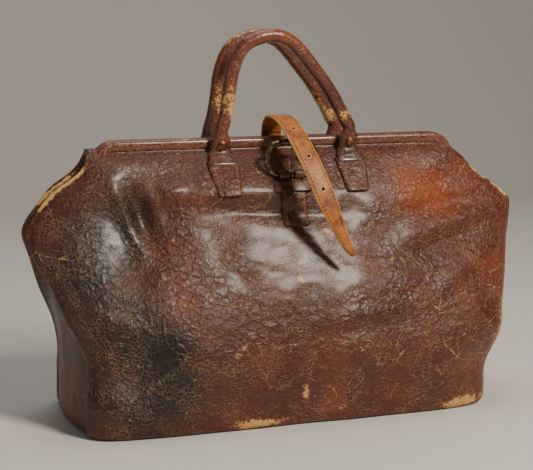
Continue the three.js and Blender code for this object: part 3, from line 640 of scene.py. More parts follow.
def glazed_cowhide(name, dark, middle, warm, bare, marks=True, coat=0.14):
    """Glazed cowhide, dyed and varnished: the dried varnish has cracked into plates, pale at the cracks.

    To the eye: broad glossy highlights broken by a net of fine pale lines, dark and orange clouds
    in the dye, painted shade and painted light where the marks carry them, and matt tan patches
    where the grain has been rubbed through.
    """
    material, tree, shader = new_material(name)
    where = add_node(tree, "ShaderNodeTexCoord").outputs["Object"]
    wander = warped(tree, where, 22, 12)
    cloud = pattern_noise(tree, where, 70, 5.0, 0.6)
    speckle = pattern_noise(tree, where, 7, 4.0, 0.65)
    if marks:
        wear = add_node(tree, "ShaderNodeAttribute", attribute_name="wear").outputs["Fac"]
        tone = add_node(tree, "ShaderNodeAttribute", attribute_name="tone").outputs["Fac"]
        coarse = add_node(tree, "ShaderNodeAttribute", attribute_name="coarse").outputs["Fac"]
    else:
        wear = calculate(tree, "MULTIPLY", speckle, 0.25)
        tone = centred(tree, cloud)
        coarse = blend_value(tree, 0.4, 0.6, cloud)
    # The marks' colour value, with its painted shade and painted light, is mixed with the dye clouds here
    # and picks the dark, middle and warm colours.
    dye_light_and_shade = plus_part(tree, tone, centred(tree, cloud), 1.5)
    colour = mix_colour(tree, blend_value(tree, -0.9, 0.1, dye_light_and_shade), dark, middle)
    colour = mix_colour(tree, blend_value(tree, 0.0, 1.1, dye_light_and_shade), colour, warm)
    # Plates of three sizes: about 27 mm, 10 mm and 3 mm across.
    thin = blend_value(tree, 0.35, 0.65, pattern_noise(tree, where, 14, 3.0), 0.009, 0.028)
    big, big_height = plates(tree, wander, 27, thin, (1.0, 1.0, 1.55))
    mid, mid_height = plates(tree, warped(tree, where, 9, 6), 10, thin, (1.0, 1.0, 1.35))
    fine, fine_height = plates(tree, warped(tree, where, 6, 3), 3.4, 0.1)
    big_share = blend_value(tree, 0.25, 0.6, plus_part(tree, coarse, cloud, 0.25))
    mid_share = blend_value(tree, 0.42, 0.58, pattern_noise(tree, where, 42, 3.0), 0.45, 1.0)
    fine_share = blend_value(tree, 0.38, 0.6, pattern_noise(tree, where, 26, 2.0), 0.2, 1.0)
    big_here = calculate(tree, "MULTIPLY", big, big_share)
    mid_here = calculate(tree, "MULTIPLY", mid, mid_share)
    fine_here = calculate(tree, "MULTIPLY", fine, fine_share)
    lines = calculate(tree, "MAXIMUM", big_here, calculate(tree, "MULTIPLY", mid_here, 0.5))
    pale = calculate(tree, "MULTIPLY", lines, blend_value(tree, 0.36, 0.6, speckle, 0.2, 1.0))
    pale = calculate(tree, "MAXIMUM", pale, calculate(tree, "MULTIPLY", fine_here, 0.3))
    colour = mix_colour(tree, pale, colour, linear("#c89c70"))
    flecks = pattern_noise(tree, where, 2.4, 3.0, 0.6)
    rubbed = plus_part(tree, wear, centred(tree, speckle), 1.3)
    rubbed = plus_part(tree, rubbed, centred(tree, flecks), 1.4)
    rubbed = plus_part(tree, rubbed, lines, 0.25)
    raw = blend_value(tree, 0.52, 0.72, rubbed)
    half_raw = blend_value(tree, 0.3, 0.62, rubbed)
    colour = mix_colour(tree, calculate(tree, "MULTIPLY", half_raw, 0.6), colour, linear("#8a4520"))
    colour = mix_colour(tree, raw, colour, bare)
    tree.links.new(colour, shader.inputs["Base Color"])
    gloss = blend_value(tree, 0.3, 0.7, pattern_noise(tree, where, 34, 4.0), 0.36, 0.48)
    gloss = plus_part(tree, gloss, raw, 0.4)
    gloss = calculate(tree, "ADD", gloss, calculate(tree, "MULTIPLY", pale, 0.2), clamp=True)
    tree.links.new(gloss, shader.inputs["Roughness"])
    relief = calculate(tree, "MULTIPLY", big_here, -0.9)
    relief = plus_part(tree, relief, mid_here, -0.6)
    relief = plus_part(tree, relief, fine_here, -0.25)
    for share, height, amount in ((big_share, big_height, 0.9), (mid_share, mid_height, 0.7),
                                  (fine_share, fine_height, 0.2)):
        relief = plus_part(tree, relief, calculate(tree, "MULTIPLY", share, height), amount)
    relief = plus_part(tree, relief, pattern_noise(tree, where, 5, 4.0, 0.6), 0.6)
    relief = plus_part(tree, relief, raw, -0.6)
    raise_grain(tree, shader, relief, 1.0, 0.0012)
    shader.inputs["IOR"].default_value = 1.5
    shader.inputs["Coat Weight"].default_value = coat
    shader.inputs["Coat Roughness"].default_value = 0.2
    return material


def strap_hide(name, base, dark, edge):
    """Vegetable-tanned strap leather, waxed and handled: matt orange-brown with darker clouds and pale
    edges.
    """
    material, tree, shader = new_material(name)
    where = add_node(tree, "ShaderNodeTexCoord").outputs["Object"]
    uv = add_node(tree, "ShaderNodeUVMap").outputs["UV"]
    across = add_node(tree, "ShaderNodeSeparateXYZ", {0: uv}).outputs["X"]
    cloud = pattern_noise(tree, where, 18, 5.0, 0.65)
    grain = pattern_noise(tree, where, 1.6, 3.0)
    colour = mix_colour(tree, blend_value(tree, 0.38, 0.68, cloud), base, dark)
    rim = calculate(tree, "ABSOLUTE", centred(tree, across))
    worn = plus_part(tree, rim, centred(tree, grain), 0.1)
    colour = mix_colour(tree, blend_value(tree, 0.44, 0.5, worn), colour, edge)
    tree.links.new(colour, shader.inputs["Base Color"])
    lines, _ = plates(tree, warped(tree, where, 8, 4), 5, 0.05, (1.0, 1.0, 2.2))
    relief = calculate(tree, "ADD", calculate(tree, "MULTIPLY", lines, -0.4), grain)
    raise_grain(tree, shader, relief, 0.5, 0.0004)
    shader.inputs["Roughness"].default_value = 0.5
    return material


def old_metal(name, colour, bright, rough):
    """Old steel or brass: to the eye, a dull brown film with bright spots where it is rubbed."""
    material, tree, shader = new_material(name)
    where = add_node(tree, "ShaderNodeTexCoord").outputs["Object"]
    film = pattern_noise(tree, where, 4, 5.0, 0.65)
    tree.links.new(mix_colour(tree, blend_value(tree, 0.4, 0.65, film), colour, bright),
                   shader.inputs["Base Color"])
    tree.links.new(blend_value(tree, 0.3, 0.7, film, rough + 0.15, rough),
                   shader.inputs["Roughness"])
    raise_grain(tree, shader, film, 0.3, 0.0002)
    shader.inputs["Metallic"].default_value = 1.0
    return material


def woven_cotton(name, colour, dark, pitch_mm):
    """Plain-woven cotton lining: over-and-under threads, drawn at 1.2 mm so that they show."""
    material, tree, shader = new_material(name)
    where = add_node(tree, "ShaderNodeTexCoord").outputs["Object"]
    parts = add_node(tree, "ShaderNodeSeparateXYZ", {0: where})
    turn = 2 * math.pi / (pitch_mm * MM)
    warp = calculate(tree, "SINE", calculate(tree, "MULTIPLY", parts.outputs["X"], turn))
    weft = calculate(tree, "SINE", calculate(tree, "MULTIPLY", parts.outputs["Z"], turn))
    weave = calculate(tree, "MULTIPLY", warp, weft)
    cloud = pattern_noise(tree, where, 40, 4.0)
    tree.links.new(mix_colour(tree, blend_value(tree, 0.35, 0.7, cloud), colour, dark),
                   shader.inputs["Base Color"])
    raise_grain(tree, shader, weave, 0.4, 0.0003)
    shader.inputs["Roughness"].default_value = 0.9
    return material


def plain(name, colour, rough):
    """One even, matt colour: waxed thread, board, rope, the painted shade of a hole, and studio paper."""
    material, _, shader = new_material(name)
    shader.inputs["Base Color"].default_value = colour
    shader.inputs["Roughness"].default_value = rough
    return material


MATERIALS = {}


def finish_named(name):
    """The finish of that name, made the first time that it is asked for."""
    if name in MATERIALS:
        return MATERIALS[name]
    looks = bpy.context.scene.doctor_bag_looks
    colour = {key: tuple(getattr(looks, key)) + (1.0,) for key in COLOURS}
    makers = {
        "glazed_cowhide_body": lambda: glazed_cowhide(
            name, colour["dark_hide"], colour["body_hide"], colour["warm_hide"],
            colour["bare_hide"]),
        "glazed_cowhide_trim": lambda: glazed_cowhide(
            name, linear("#200905"), linear("#4c1a08"), linear("#74320f"), colour["bare_hide"],
            marks=False),
        "polished_cowhide_frame": lambda: glazed_cowhide(
            name, linear("#280c05"), linear("#5e2009"), linear("#82390f"), colour["bare_hide"],
            marks=False, coat=0.6),
        "rolled_cowhide_handle": lambda: glazed_cowhide(
            name, linear("#200904"), linear("#52190a"), linear("#84380f"), linear("#c99c5c"),
            coat=0.5),
        "tanned_strap_hide": lambda: strap_hide(
            name, colour["strap_hide"], linear("#6e3414"), linear("#c99a5c")),
        "browned_plated_steel": lambda: old_metal(
            name, linear("#4a3a2e"), linear("#8c7a68"), 0.28),
        "rubbed_brass_rivet": lambda: old_metal(
            name, linear("#5e3c24"), linear("#946c44"), 0.36),
        "dull_frame_steel": lambda: old_metal(name, linear("#5a544c"), linear("#86807a"), 0.4),
        "cotton_lining": lambda: woven_cotton(
            name, colour["lining_cloth"], linear("#5d4730"), 1.2),
        "waxed_thread": lambda: plain(name, linear("#3c2416"), 0.7),
        "pale_thread": lambda: plain(name, linear("#9a7a54"), 0.7),
        "bookbinders_board": lambda: plain(name, linear("#7a6248"), 0.95),
        "hemp_rope": lambda: plain(name, linear("#b09a74"), 0.9),
        # Painted shade for the strap's holes.
        "punched_hole": lambda: plain(name, linear("#0c0806"), 0.9),
        "studio_paper": lambda: plain(name, linear("#cfcbc4"), 0.85),
    }
    MATERIALS[name] = makers[name]()
    return MATERIALS[name]


def dress(obj, finish):
    """Gives the piece its finish."""
    obj.data.materials.clear()
    obj.data.materials.append(finish_named(finish))
    return obj


COLOURS = {
    # Besides dye, dark_hide colours the painted shade in the body's hollows and on its base, and warm_hide
    # colours the painted light at the upper right and along the lower edge.
    "dark_hide": ("Dark hide", "Dye at its darkest, nearly black", "#120503"),
    "body_hide": ("Body hide", "Usual colour of the leather body", "#4a1405"),
    "warm_hide": ("Warm hide", "Dye where it has faded to orange-brown", "#8e3c0c"),
    "bare_hide": ("Bare hide", "Rubbed-through leather", "#c89a5e"),
    "strap_hide": ("Strap hide", "Colour of the strap", "#b26c2a"),
    "lining_cloth": ("Lining cloth", "Colour of the cotton lining", "#8a6c48"),
}


class DoctorBagLooks(bpy.types.PropertyGroup):
    """Colours of the bag."""


for colour_key, (colour_name, colour_text, colour_hex) in COLOURS.items():
    DoctorBagLooks.__annotations__ = getattr(DoctorBagLooks, "__annotations__", {})
    DoctorBagLooks.__annotations__[colour_key] = FloatVectorProperty(
        name=colour_name, description=colour_text, subtype="COLOR", size=3, min=0, max=1,
        default=linear(colour_hex)[:3])


class DoctorBagSizes(bpy.types.PropertyGroup):
    """Sizes of the pieces that are made here."""

    body_rows: IntProperty(
        name="Body rows", description="Rows of faces up each side of the body",
        default=130, min=20, max=160)
    leather: FloatProperty(
        name="Leather", description="Thickness of the body leather",
        default=0.0026, min=0.001, max=0.005, unit="LENGTH")
    handle: FloatProperty(
        name="Handle", description="Diameter of the rolled handles",
        default=0.014, min=0.01, max=0.03, unit="LENGTH")
    strap: FloatProperty(
        name="Strap", description="Width of the closing strap",
        default=0.022, min=0.015, max=0.04, unit="LENGTH")
    stitch: FloatProperty(
        name="Stitch", description="Length of one stitch with its gap",
        default=0.0042, min=0.002, max=0.008, unit="LENGTH")


def sizes():
    return bpy.context.scene.doctor_bag_sizes


# ---- Pieces -----------------------------------------------------------------------
class DOCTORBAG_OT_body(bpy.types.Operator):
    """Front and rear halves of the leather body"""

    bl_idname = "doctor_bag.body"
    bl_label = "Leather Body"

    def execute(self, context):
        rows = sizes().body_rows
        thick = sizes().leather / MM
        for side, word in SIDES:
            outer, share = half_shell(side, rows, PANEL_COLUMNS, END_COLUMNS, 0.0)
            inner, _ = half_shell(side, rows, PANEL_COLUMNS, END_COLUMNS, thick)
            obj = slab(f"{word}_body_leather", outer, inner,
                       attributes=body_marks(outer, share, side))
            dress(obj, "glazed_cowhide_body")
            fold_with_jaw(obj)
            ends = ["left_gusset", "right_gusset"] if side < 0 else []
            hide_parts(f"{word}_panel_lower", f"{word}_panel_upper", *ends)
        return {"FINISHED"}


class DOCTORBAG_OT_base(bpy.types.Operator):
    """Flat leather base with its stiffening board"""

    bl_idname = "doctor_bag.base"
    bl_label = "Base"

    def execute(self, context):
        front, _ = half_shell(-1, 60, 120, 20, 0.0)
        line = front[6]
        u = np.linspace(0, 1, 40)[:, None, None]
        near = line * np.array([0.97, 0.94, 0.0])
        far = near * np.array([1, -1, 1])
        flat = near[None] * (1 - u) + far[None] * u
        lower, upper = flat.copy(), flat.copy()
        lower[..., 2], upper[..., 2] = 0.2, 2.6
        # Painted shade: the base's colour value is set darker, as under the bag; its wear is an even
        # rubbing.
        marks = {"wear": np.full(flat.shape[:2], 0.3), "tone": np.full(flat.shape[:2], -0.3),
                 "coarse": np.full(flat.shape[:2], 0.3)}
        obj = slab("base_leather", lower, upper, attributes=marks)
        dress(obj, "glazed_cowhide_body")
        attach(obj, "bag_body")
        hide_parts("base_panel")
        return {"FINISHED"}


class DOCTORBAG_OT_lining(bpy.types.Operator):
    """Cotton lining of both halves"""

    bl_idname = "doctor_bag.lining"
    bl_label = "Lining"

    def execute(self, context):
        for side, word in SIDES:
            grid = (side, LINING_ROWS, LINING_PANEL, LINING_END)
            near, _ = half_shell(*grid, LINING_FACE)
            far, _ = half_shell(*grid, LINING_BACK)
            keep = near[:, 0, 2] < PANEL_TOP - LINING_DROP
            obj = slab(f"{word}_lining_cloth", near[keep], far[keep])
            dress(obj, "cotton_lining")
            fold_with_jaw(obj)
            ends = ["left_gusset_lining", "right_gusset_lining"] if side < 0 else []
            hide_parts(f"{word}_lining_lower", f"{word}_lining_upper", *ends)
        return {"FINISHED"}


def jaw_line(steps=300):
    """The jaw's centre line in the XZ plane: two legs, two 19 mm corner arcs and the top bar."""
    inset, corner = JAW_INSET, JAW_CORNER
    radius = corner - inset
    top, foot = BAG_HEIGHT - inset, BAG_HEIGHT - corner - 1
    arc = np.linspace(0, np.pi / 2, 40)
    left = np.stack([FRAME_LEFT + corner - radius * np.cos(arc),
                     top - radius + radius * np.sin(arc)], -1)
    right = np.stack([FRAME_RIGHT - corner + radius * np.sin(arc),
                      top - radius + radius * np.cos(arc)], -1)
    points = np.concatenate([[[FRAME_LEFT + inset, foot]], left, right,
                             [[FRAME_RIGHT - inset, foot]]])
    far = lengths_along(points)
    at = np.linspace(0, far[-1], steps)
    return sampled(at, far, points), at


class DOCTORBAG_OT_jaws(bpy.types.Operator):
    """Leather-covered jaws of the frame"""

    bl_idname = "doctor_bag.jaws"
    bl_label = "Jaws"

    def execute(self, context):
        line, at = jaw_line()
        along = directions(line)
        sides = 28
        a = circle(sides)
        for side, word in SIDES:
            puff = 1 + 0.03 * noise(at, 0 * at, 24, 60 + side)[:, None]
            out = squarish(np.cos(a), 0.8) * JAW_HALF_HEIGHT * puff
            deep = squarish(np.sin(a), 0.8) * JAW_HALF_DEPTH * puff
            x = line[:, :1] - along[:, 1:] * out
            z = line[:, 1:] + along[:, :1] * out
            y = side * JAW_OFFSET + deep
            rings = np.stack([x, y, z], -1)
            obj = tube(f"{word}_jaw_leather", rings)
            seal(obj)
            dress(obj, "polished_cowhide_frame")
            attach(obj, f"{word}_jaw")
            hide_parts(f"{word}_jaw_cover")
        return {"FINISHED"}


def handle_line(steps=260):
    """Centre line of a handle: down past the frame, over the arch and down again, as (x, depth, z)."""
    shape = np.array(HANDLE_SHAPE, float)
    x = HANDLE_CENTRE + shape[:, 0] * HANDLE_SPAN
    z = HANDLE_PIVOT[1] + shape[:, 1] * HANDLE_RISE
    far = np.concatenate([[0], np.cumsum(np.hypot(np.diff(x), np.diff(z)))])
    t = np.linspace(0, far[-1], 180)
    pairs = [np.stack([far, v], -1) for v in (x, z)]
    arch_x, arch_z = (through_stations(p, t) for p in pairs)
    for _ in range(6):
        arch_x[1:-1] = (arch_x[:-2] + 2 * arch_x[1:-1] + arch_x[2:]) / 4
        arch_z[1:-1] = (arch_z[:-2] + 2 * arch_z[1:-1] + arch_z[2:]) / 4
    drop = np.linspace(0, 1, 30)[1:]
    z_down = HANDLE_PIVOT[1] - drop * (HANDLE_PIVOT[1] - LAP_END)
    x_left = arch_x[0] + 0 * drop
    x_right = arch_x[-1] + 0 * drop
    full_x = np.concatenate([x_left[::-1], arch_x, x_right])
    full_z = np.concatenate([z_down[::-1], arch_z, z_down])
    far = np.concatenate([[0], np.cumsum(np.hypot(np.diff(full_x), np.diff(full_z)))])
    at = np.linspace(0, far[-1], steps)
    return np.interp(at, far, full_x), np.interp(at, far, full_z), at, far[-1]


class DOCTORBAG_OT_handles(bpy.types.Operator):
    """Rolled leather handles, flattened and riveted where they meet the frame"""

    bl_idname = "doctor_bag.handles"
    bl_label = "Handles"

    def execute(self, context):
        radius = sizes().handle / MM / 2
        x, z, at, length = handle_line()
        sides = 32
        a = circle(sides)
        below = np.clip(HANDLE_PIVOT[1] - z, 0, 60)
        reach = HANDLE_PIVOT[1] - LAP_END
        flat = smooth(below, 2, reach)
        tip = np.sqrt(np.clip(1 - smooth(below, reach - 4, reach + 0.2) ** 2, 0.02, 1))
        half = radius * (1 + 0.42 * smooth(below, 0, 12) + 0.72 * smooth(below, 12, reach - 2))
        half = half * (0.82 + 0.18 * tip)
        face = np.maximum(FRAME_FACE, panel_depth(x, z)) + 0.8 + 1.0 * smooth(below, 20, 30)
        deep = radius * (1 - 0.72 * flat) * (0.25 + 0.75 * tip)
        ease = smooth(below, 0, 14)
        y = HANDLE_PIVOT[0] * (1 - ease) + (face + deep) * ease
        for side, word in SIDES:
            seed = 70 if side < 0 else 90
            rumple = 1 + 0.03 * noise(at, 0 * at, 11, seed) + 0.02 * noise(at, 0 * at, 4, seed + 1)
            rumple = rumple + flat * 0.07 * noise(at, 0 * at, 3.4, seed + 3)
            step = np.stack([np.gradient(x), np.gradient(z)], -1)
            step /= np.linalg.norm(step, axis=1, keepdims=True)
            crease = 0.35 * np.sin(at * 1.7 + 2 * noise(at, 0 * at, 9, seed + 2))
            out = (half * rumple + 0.3 * crease)[:, None] * np.cos(a)
            rings = np.stack([
                x[:, None] - step[:, 1:] * out,
                side * y[:, None] + (deep * rumple)[:, None] * np.sin(a),
                z[:, None] + step[:, :1] * out,
            ], -1)
            around = np.repeat(np.linspace(0, 1, sides, endpoint=False)[None], len(at), 0)
            share = at / length
            patchy = 0.5 + 0.5 * noise(at[:, None], around * 40, 9, seed + 5)
            inner = np.maximum(0, -np.cos(a)) + 0 * share[:, None]
            front = np.maximum(0, -np.sin(a)) + 0 * share[:, None]
            wear = 0.55 * bell(share - 0.22, 0.05)[:, None] * (0.35 + 0.65 * front)
            wear += 0.7 * bell(share - 0.17, 0.03)[:, None] * (0.3 + 0.7 * inner)
            wear += 0.6 * bell(share - 0.845, 0.028)[:, None] * (0.4 + 0.6 * front)
            wear += 0.5 * bell(share - 0.5, 0.13)[:, None] * inner
            wear += 0.2 * patchy
            if side > 0:
                wear += 0.6 * bell(share - 0.43, 0.1)[:, None] * np.maximum(
                    0, np.cos(a))
                wear += 0.85 * bell(share - 0.8, 0.08)[:, None] * inner
            tone = 0.25 + 0.5 * noise(at[:, None], around * 60, 30, seed + 6)
            tone = tone - 0.5 * smooth(280 - z, 0, 10)[:, None]
            marks = {"wear": np.clip(wear, 0, 1), "tone": np.clip(tone, -1, 1),
                     "coarse": np.full(wear.shape, 0.1)}
            obj = tube(f"{word}_handle_leather", rings, attributes=marks)
            seal(obj)
            dress(obj, "rolled_cowhide_handle")
            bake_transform(obj)
            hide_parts(f"{word}_handle_cover", f"{word}_handle_end_left",
                        f"{word}_handle_end_right")
        return {"FINISHED"}


def patch_grid(side, middle, half_width, z0, z1, lift, rows=40, columns=30, extra=None):
    """A grid of points lift millimetres off a panel and its folds, with a slightly stronger drape."""
    z = np.linspace(z0, z1, rows)[:, None]
    u = np.linspace(-1, 1, columns)[None]
    x = middle + half_width(z) * u
    folds = panel_folds(side, x, z)
    seed = 11 if side < 0 else 47
    drape = noise(x, z * 1.3, 46, seed) * 2.0 + noise(x, z, 21, seed + 1) * 0.9
    free = freedom(z)
    depth = np.maximum(panel_depth(x, z) + (folds + drape) * free * 0.9, 0) + lift
    if extra is not None:
        depth = depth + extra(u, z)
    return np.stack([x, side * depth, z + 0 * x], -1)


def leather_patch(name, side, middle, half_width, z0, z1, thick, puff=0.8):
    """A sewn patch: its outer face is puffed in the middle and pressed down along the edges."""
    inner = patch_grid(side, middle, half_width, z0, z1, -0.6)
    shape = (lambda u, z: thick + 0.6 + puff * (1 - np.abs(u) ** 4)
             - 0.9 * smooth(np.abs(u), 0.9, 1.0))
    outer = patch_grid(side, middle, half_width, z0, z1, -0.6, extra=shape)
    obj = slab(name, outer, inner)
    dress(obj, "glazed_cowhide_trim")
    fold_with_jaw(obj)
    return outer


def stitch_rows(name, side, outer, columns_at, finish="waxed_thread"):
    """Rows of stitches along chosen columns of a patch's outer grid."""
    out = normals_of(outer)
    if out[len(out) // 2, out.shape[1] // 2, 1] * side < 0:
        out = -out
    axes, points = [], []
    for column in columns_at:
        line = outer[2:-2, column] + out[2:-2, column] * 0.1
        turn, at = place_along(line, out[2:-2, column], sizes().stitch / MM)
        axes.append(turn)
        points.append(at)
    shape, faces = stitch_shape(2.9, 0.42)
    obj = many(name, shape, faces, (np.concatenate(axes), np.concatenate(points)))
    dress(obj, finish)
    return obj


class DOCTORBAG_OT_tabs(bpy.types.Operator):
    """Stitched tabs and rivets at the four handle ends"""

    bl_idname = "doctor_bag.tabs"
    bl_label = "Tabs and Rivets"

    def execute(self, context):
        low, high = TAB_FOOT, TAB_TOP
        for side, word in SIDES:
            for x, end in zip(LEG_X, ("left", "right")):
                width = lambda z: 12.0 + 4.8 * (z - low) / (high - low)
                outer = leather_patch(f"{word}_tab_leather_{end}", side, x, width, low, high, 2.6, 1.4)
                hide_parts(f"{word}_tab_{end}")
                stitches = stitch_rows(f"{word}_tab_stitches_{end}", side, outer, (4, -5),
                                       "pale_thread")
                fold_with_jaw(stitches)
                self.rivet(side, word, x, end)
        return {"FINISHED"}

    def rivet(self, side, word, x, end):
        """A domed head: a quarter circle turned about Y, with a rolled lip pressed into the leather."""
        t = np.linspace(0, 1, 16)[:, None]
        a = circle(32)
        r = RIVET_RADIUS * np.sin(t * np.pi / 2)
        rise = RIVET_RISE * np.cos(t * np.pi / 2) ** 0.8
        flat = smooth(HANDLE_PIVOT[1] - BAG_HEIGHT + 6, 2, HANDLE_PIVOT[1] - LAP_END)
        base = FRAME_FACE + 0.8 + sizes().handle / MM * (1 - 0.72 * flat) + 0.5
        rings = np.stack([
            x + r * np.cos(a),
            side * (base + rise + 0 * a),
            BAG_HEIGHT - 6.0 + r * np.sin(a),
        ], -1)
        back = rings[-1:].copy()
        back[..., 1] = side * (base - 1.5)
        obj = tube(f"{word}_rivet_head_{end}", np.concatenate([rings, back]))
        seal(obj)
        dress(obj, "rubbed_brass_rivet")
        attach(obj, f"{word}_jaw")
        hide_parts(f"{word}_rivet_{end}")


def sleeve(name, profile, y, z, a):
    """A profile of (x, radius) turned about a line along X at y, z."""
    rings = np.stack([
        CENTRE_X + profile[:, :1] + 0 * a,
        y + profile[:, 1:] * np.cos(a),
        z + profile[:, 1:] * np.sin(a),
    ], -1)
    return tube(name, rings, closed=True)


class DOCTORBAG_OT_buckle(bpy.types.Operator):
    """Buckle, its roller and prong, and the leather chape and keeper that hold it"""

    bl_idname = "doctor_bag.buckle"
    bl_label = "Buckle"

    def execute(self, context):
        y, z = BUCKLE_PIVOT
        self.bow(y, z)
        self.roller(y, z + BUCKLE_HEIGHT)
        self.prong(y, z)
        self.chape(y, z)
        self.keeper()
        return {"FINISHED"}

    def bow(self, y, z):
        """Closed loop: straight heel and top bars joined by cubic side bows, with an oval section."""
        t = np.linspace(0, 1, 24)[:, None]
        half, bow, height = BAR_HALF, BOW_REACH, BUCKLE_HEIGHT
        right = cubic(t, [(half, 0), (half + bow, 0), (half + bow, height), (half, height)])
        left = cubic(t, [(-half, height), (-half - bow, height), (-half - bow, 0), (-half, 0)])
        bar = np.linspace(-half, half, 16)[1:-1]
        line = np.concatenate([
            np.stack([bar, 0 * bar], -1), right,
            np.stack([bar[::-1], 0 * bar + height], -1), left,
        ])
        along = np.roll(line, -1, 0) - np.roll(line, 1, 0)
        along /= np.linalg.norm(along, axis=1, keepdims=True)
        a = circle(18)
        fat = 1.0 + 0.55 * smooth(np.abs(line[:, 0]), 13.5, 21)[:, None]
        out = 1.9 * fat * np.cos(a)
        rings = np.stack([
            CENTRE_X + line[:, :1] + along[:, 1:] * out,
            y + 1.7 * np.sin(a) + 0 * out,
            z + line[:, 1:] - along[:, :1] * out,
        ], -1)
        obj = tube("buckle_bow", rings, closed=True)
        dress(obj, "browned_plated_steel")
        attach(obj, "buckle")
        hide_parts("buckle_frame")

    def roller(self, y, z):
        """A sleeve round the top bar: profile radius 3.4 outside and 2.4 inside, turned about X."""
        profile = np.array([(-12, 2.4), (-12, 3.1), (-11.6, 3.4), (11.6, 3.4), (12, 3.1),
                            (12, 2.4)], float)
        a = circle(32)
        obj = sleeve("buckle_roller_sleeve", profile, y, z, a)
        dress(obj, "browned_plated_steel")
        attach(obj, "roller")
        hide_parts("buckle_roller")

    def prong(self, y, z):
        """A wire round the heel bar that runs up across the roller and tapers to its tip."""
        turn = np.linspace(-1.2 * np.pi, 0.0, 26)
        eye = np.stack([y + 3.3 * -np.cos(turn), z + 3.3 * np.sin(turn)], -1)
        up = np.linspace(0, 1, 30)[1:, None]
        run = eye[-1] + up * (np.array([y - 5.4, z + BUCKLE_HEIGHT + 3.0]) - eye[-1])
        line = np.concatenate([eye, run])
        along = directions(line)
        a = circle(14)
        wire = np.interp(np.arange(len(line)), [0, 26, 50, len(line) - 1], [1.0, 1.3, 1.2, 0.8])
        out = wire[:, None] * np.cos(a)
        rings = np.stack([
            CENTRE_X + 1.4 * wire[:, None] * np.sin(a),
            line[:, :1] - along[:, 1:] * out,
            line[:, 1:] + along[:, :1] * out,
        ], -1)
        obj = tube("buckle_prong_wire", rings)
        seal(obj)
        dress(obj, "browned_plated_steel")
        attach(obj, "prong")
        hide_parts("buckle_prong")

    def chape(self, y, z):
        """The chape: a stitched flap on the panel, folded round the heel bar in two lugs."""
        half = lambda height: CHAPE_HALF + 0 * height
        outer = leather_patch("buckle_chape_leather", -1, CENTRE_X, half, CHAPE_FOOT, z - 1, 2.3,
                              0.6)
        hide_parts("buckle_chape")
        stitches = stitch_rows("buckle_chape_stitches", -1, outer[:-10], (4, -5), "pale_thread")
        fold_with_jaw(stitches)
        a = circle(24)
        for word, x0, x1 in (("left", -CHAPE_HALF, -3.0), ("right", 3.0, CHAPE_HALF)):
            profile = np.array([(x0, 2.5), (x0, 4.4), (x0 + 0.5, 4.9), (x1 - 0.5, 4.9), (x1, 4.4),
                                (x1, 2.5)], float)
            lug = sleeve(f"buckle_chape_lug_{word}", profile, y, z, a)
            dress(lug, "glazed_cowhide_trim")
            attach(lug, "front_jaw")

    def keeper(self):
        """The keeper: a band with rounded corners that stands 9 mm off the panel across the chape."""
        t = np.linspace(0, 1, 60)[None]
        angle = np.pi * t
        across = -squarish(np.cos(angle), 0.35)
        stand = np.abs(np.sin(angle)) ** 0.35
        z = np.linspace(0.815, 0.851, 12)[:, None] * BAG_HEIGHT
        base = panel_depth(CENTRE_X, z)
        outer = np.stack([CENTRE_X + 20.8 * across + 0 * z, -(base + 0.2 + 8.6 * stand),
                          z + 0 * t], -1)
        inner = np.stack([CENTRE_X + 18.9 * across + 0 * z, -(base + 0.2 + 6.8 * stand),
                          z + 0 * t], -1)
        obj = slab("buckle_keeper_leather", outer, inner)
        dress(obj, "glazed_cowhide_trim")
        fold_with_jaw(obj)
        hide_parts("buckle_keeper")


def strap_frame(steps=220):
    """The strap's inner face: a short rise behind the jaw, then an arc about the hinge line."""
    v = np.linspace(0, 1, steps)
    rise = STRAP_RISE
    t = np.clip(v / rise, 0, 1)[:, None]
    top = HINGE_Z + STRAP_ARC
    lift = cubic(t, [STRAP_PIVOT, (STRAP_PIVOT[0], STRAP_PIVOT[1] + 9), (9, top), (0, top)])
    far = np.clip((v - rise) / (1 - rise), 0, 1)[:, None] * (STRAP_TURN * STRAP_ARC + STRAP_TAIL)
    a = np.pi / 2 + np.minimum(STRAP_TURN, far / STRAP_ARC)
    beyond = np.maximum(0, far - STRAP_TURN * STRAP_ARC)
    arc = np.concatenate([np.cos(a) * STRAP_ARC - np.sin(a) * beyond,
                          HINGE_Z + np.sin(a) * STRAP_ARC + np.cos(a) * beyond], -1)
    line = np.where(v[:, None] < rise, lift, arc)
    along = directions(line)
    out = np.stack([along[:, 1], -along[:, 0]], -1)
    drift = CENTRE_X + STRAP_DRIFT * np.maximum(0, (v - 0.3) / 0.7) ** 2
    half = sizes().strap / MM / 2 * (1 - 0.5 * np.clip((v - 0.74) / 0.23, 0, 1))
    half = half * np.where(v > 0.95, np.sqrt(np.maximum(0.1, 1 - ((v - 0.95) / 0.05) ** 2)), 1)
    return v, line, out, drift, half


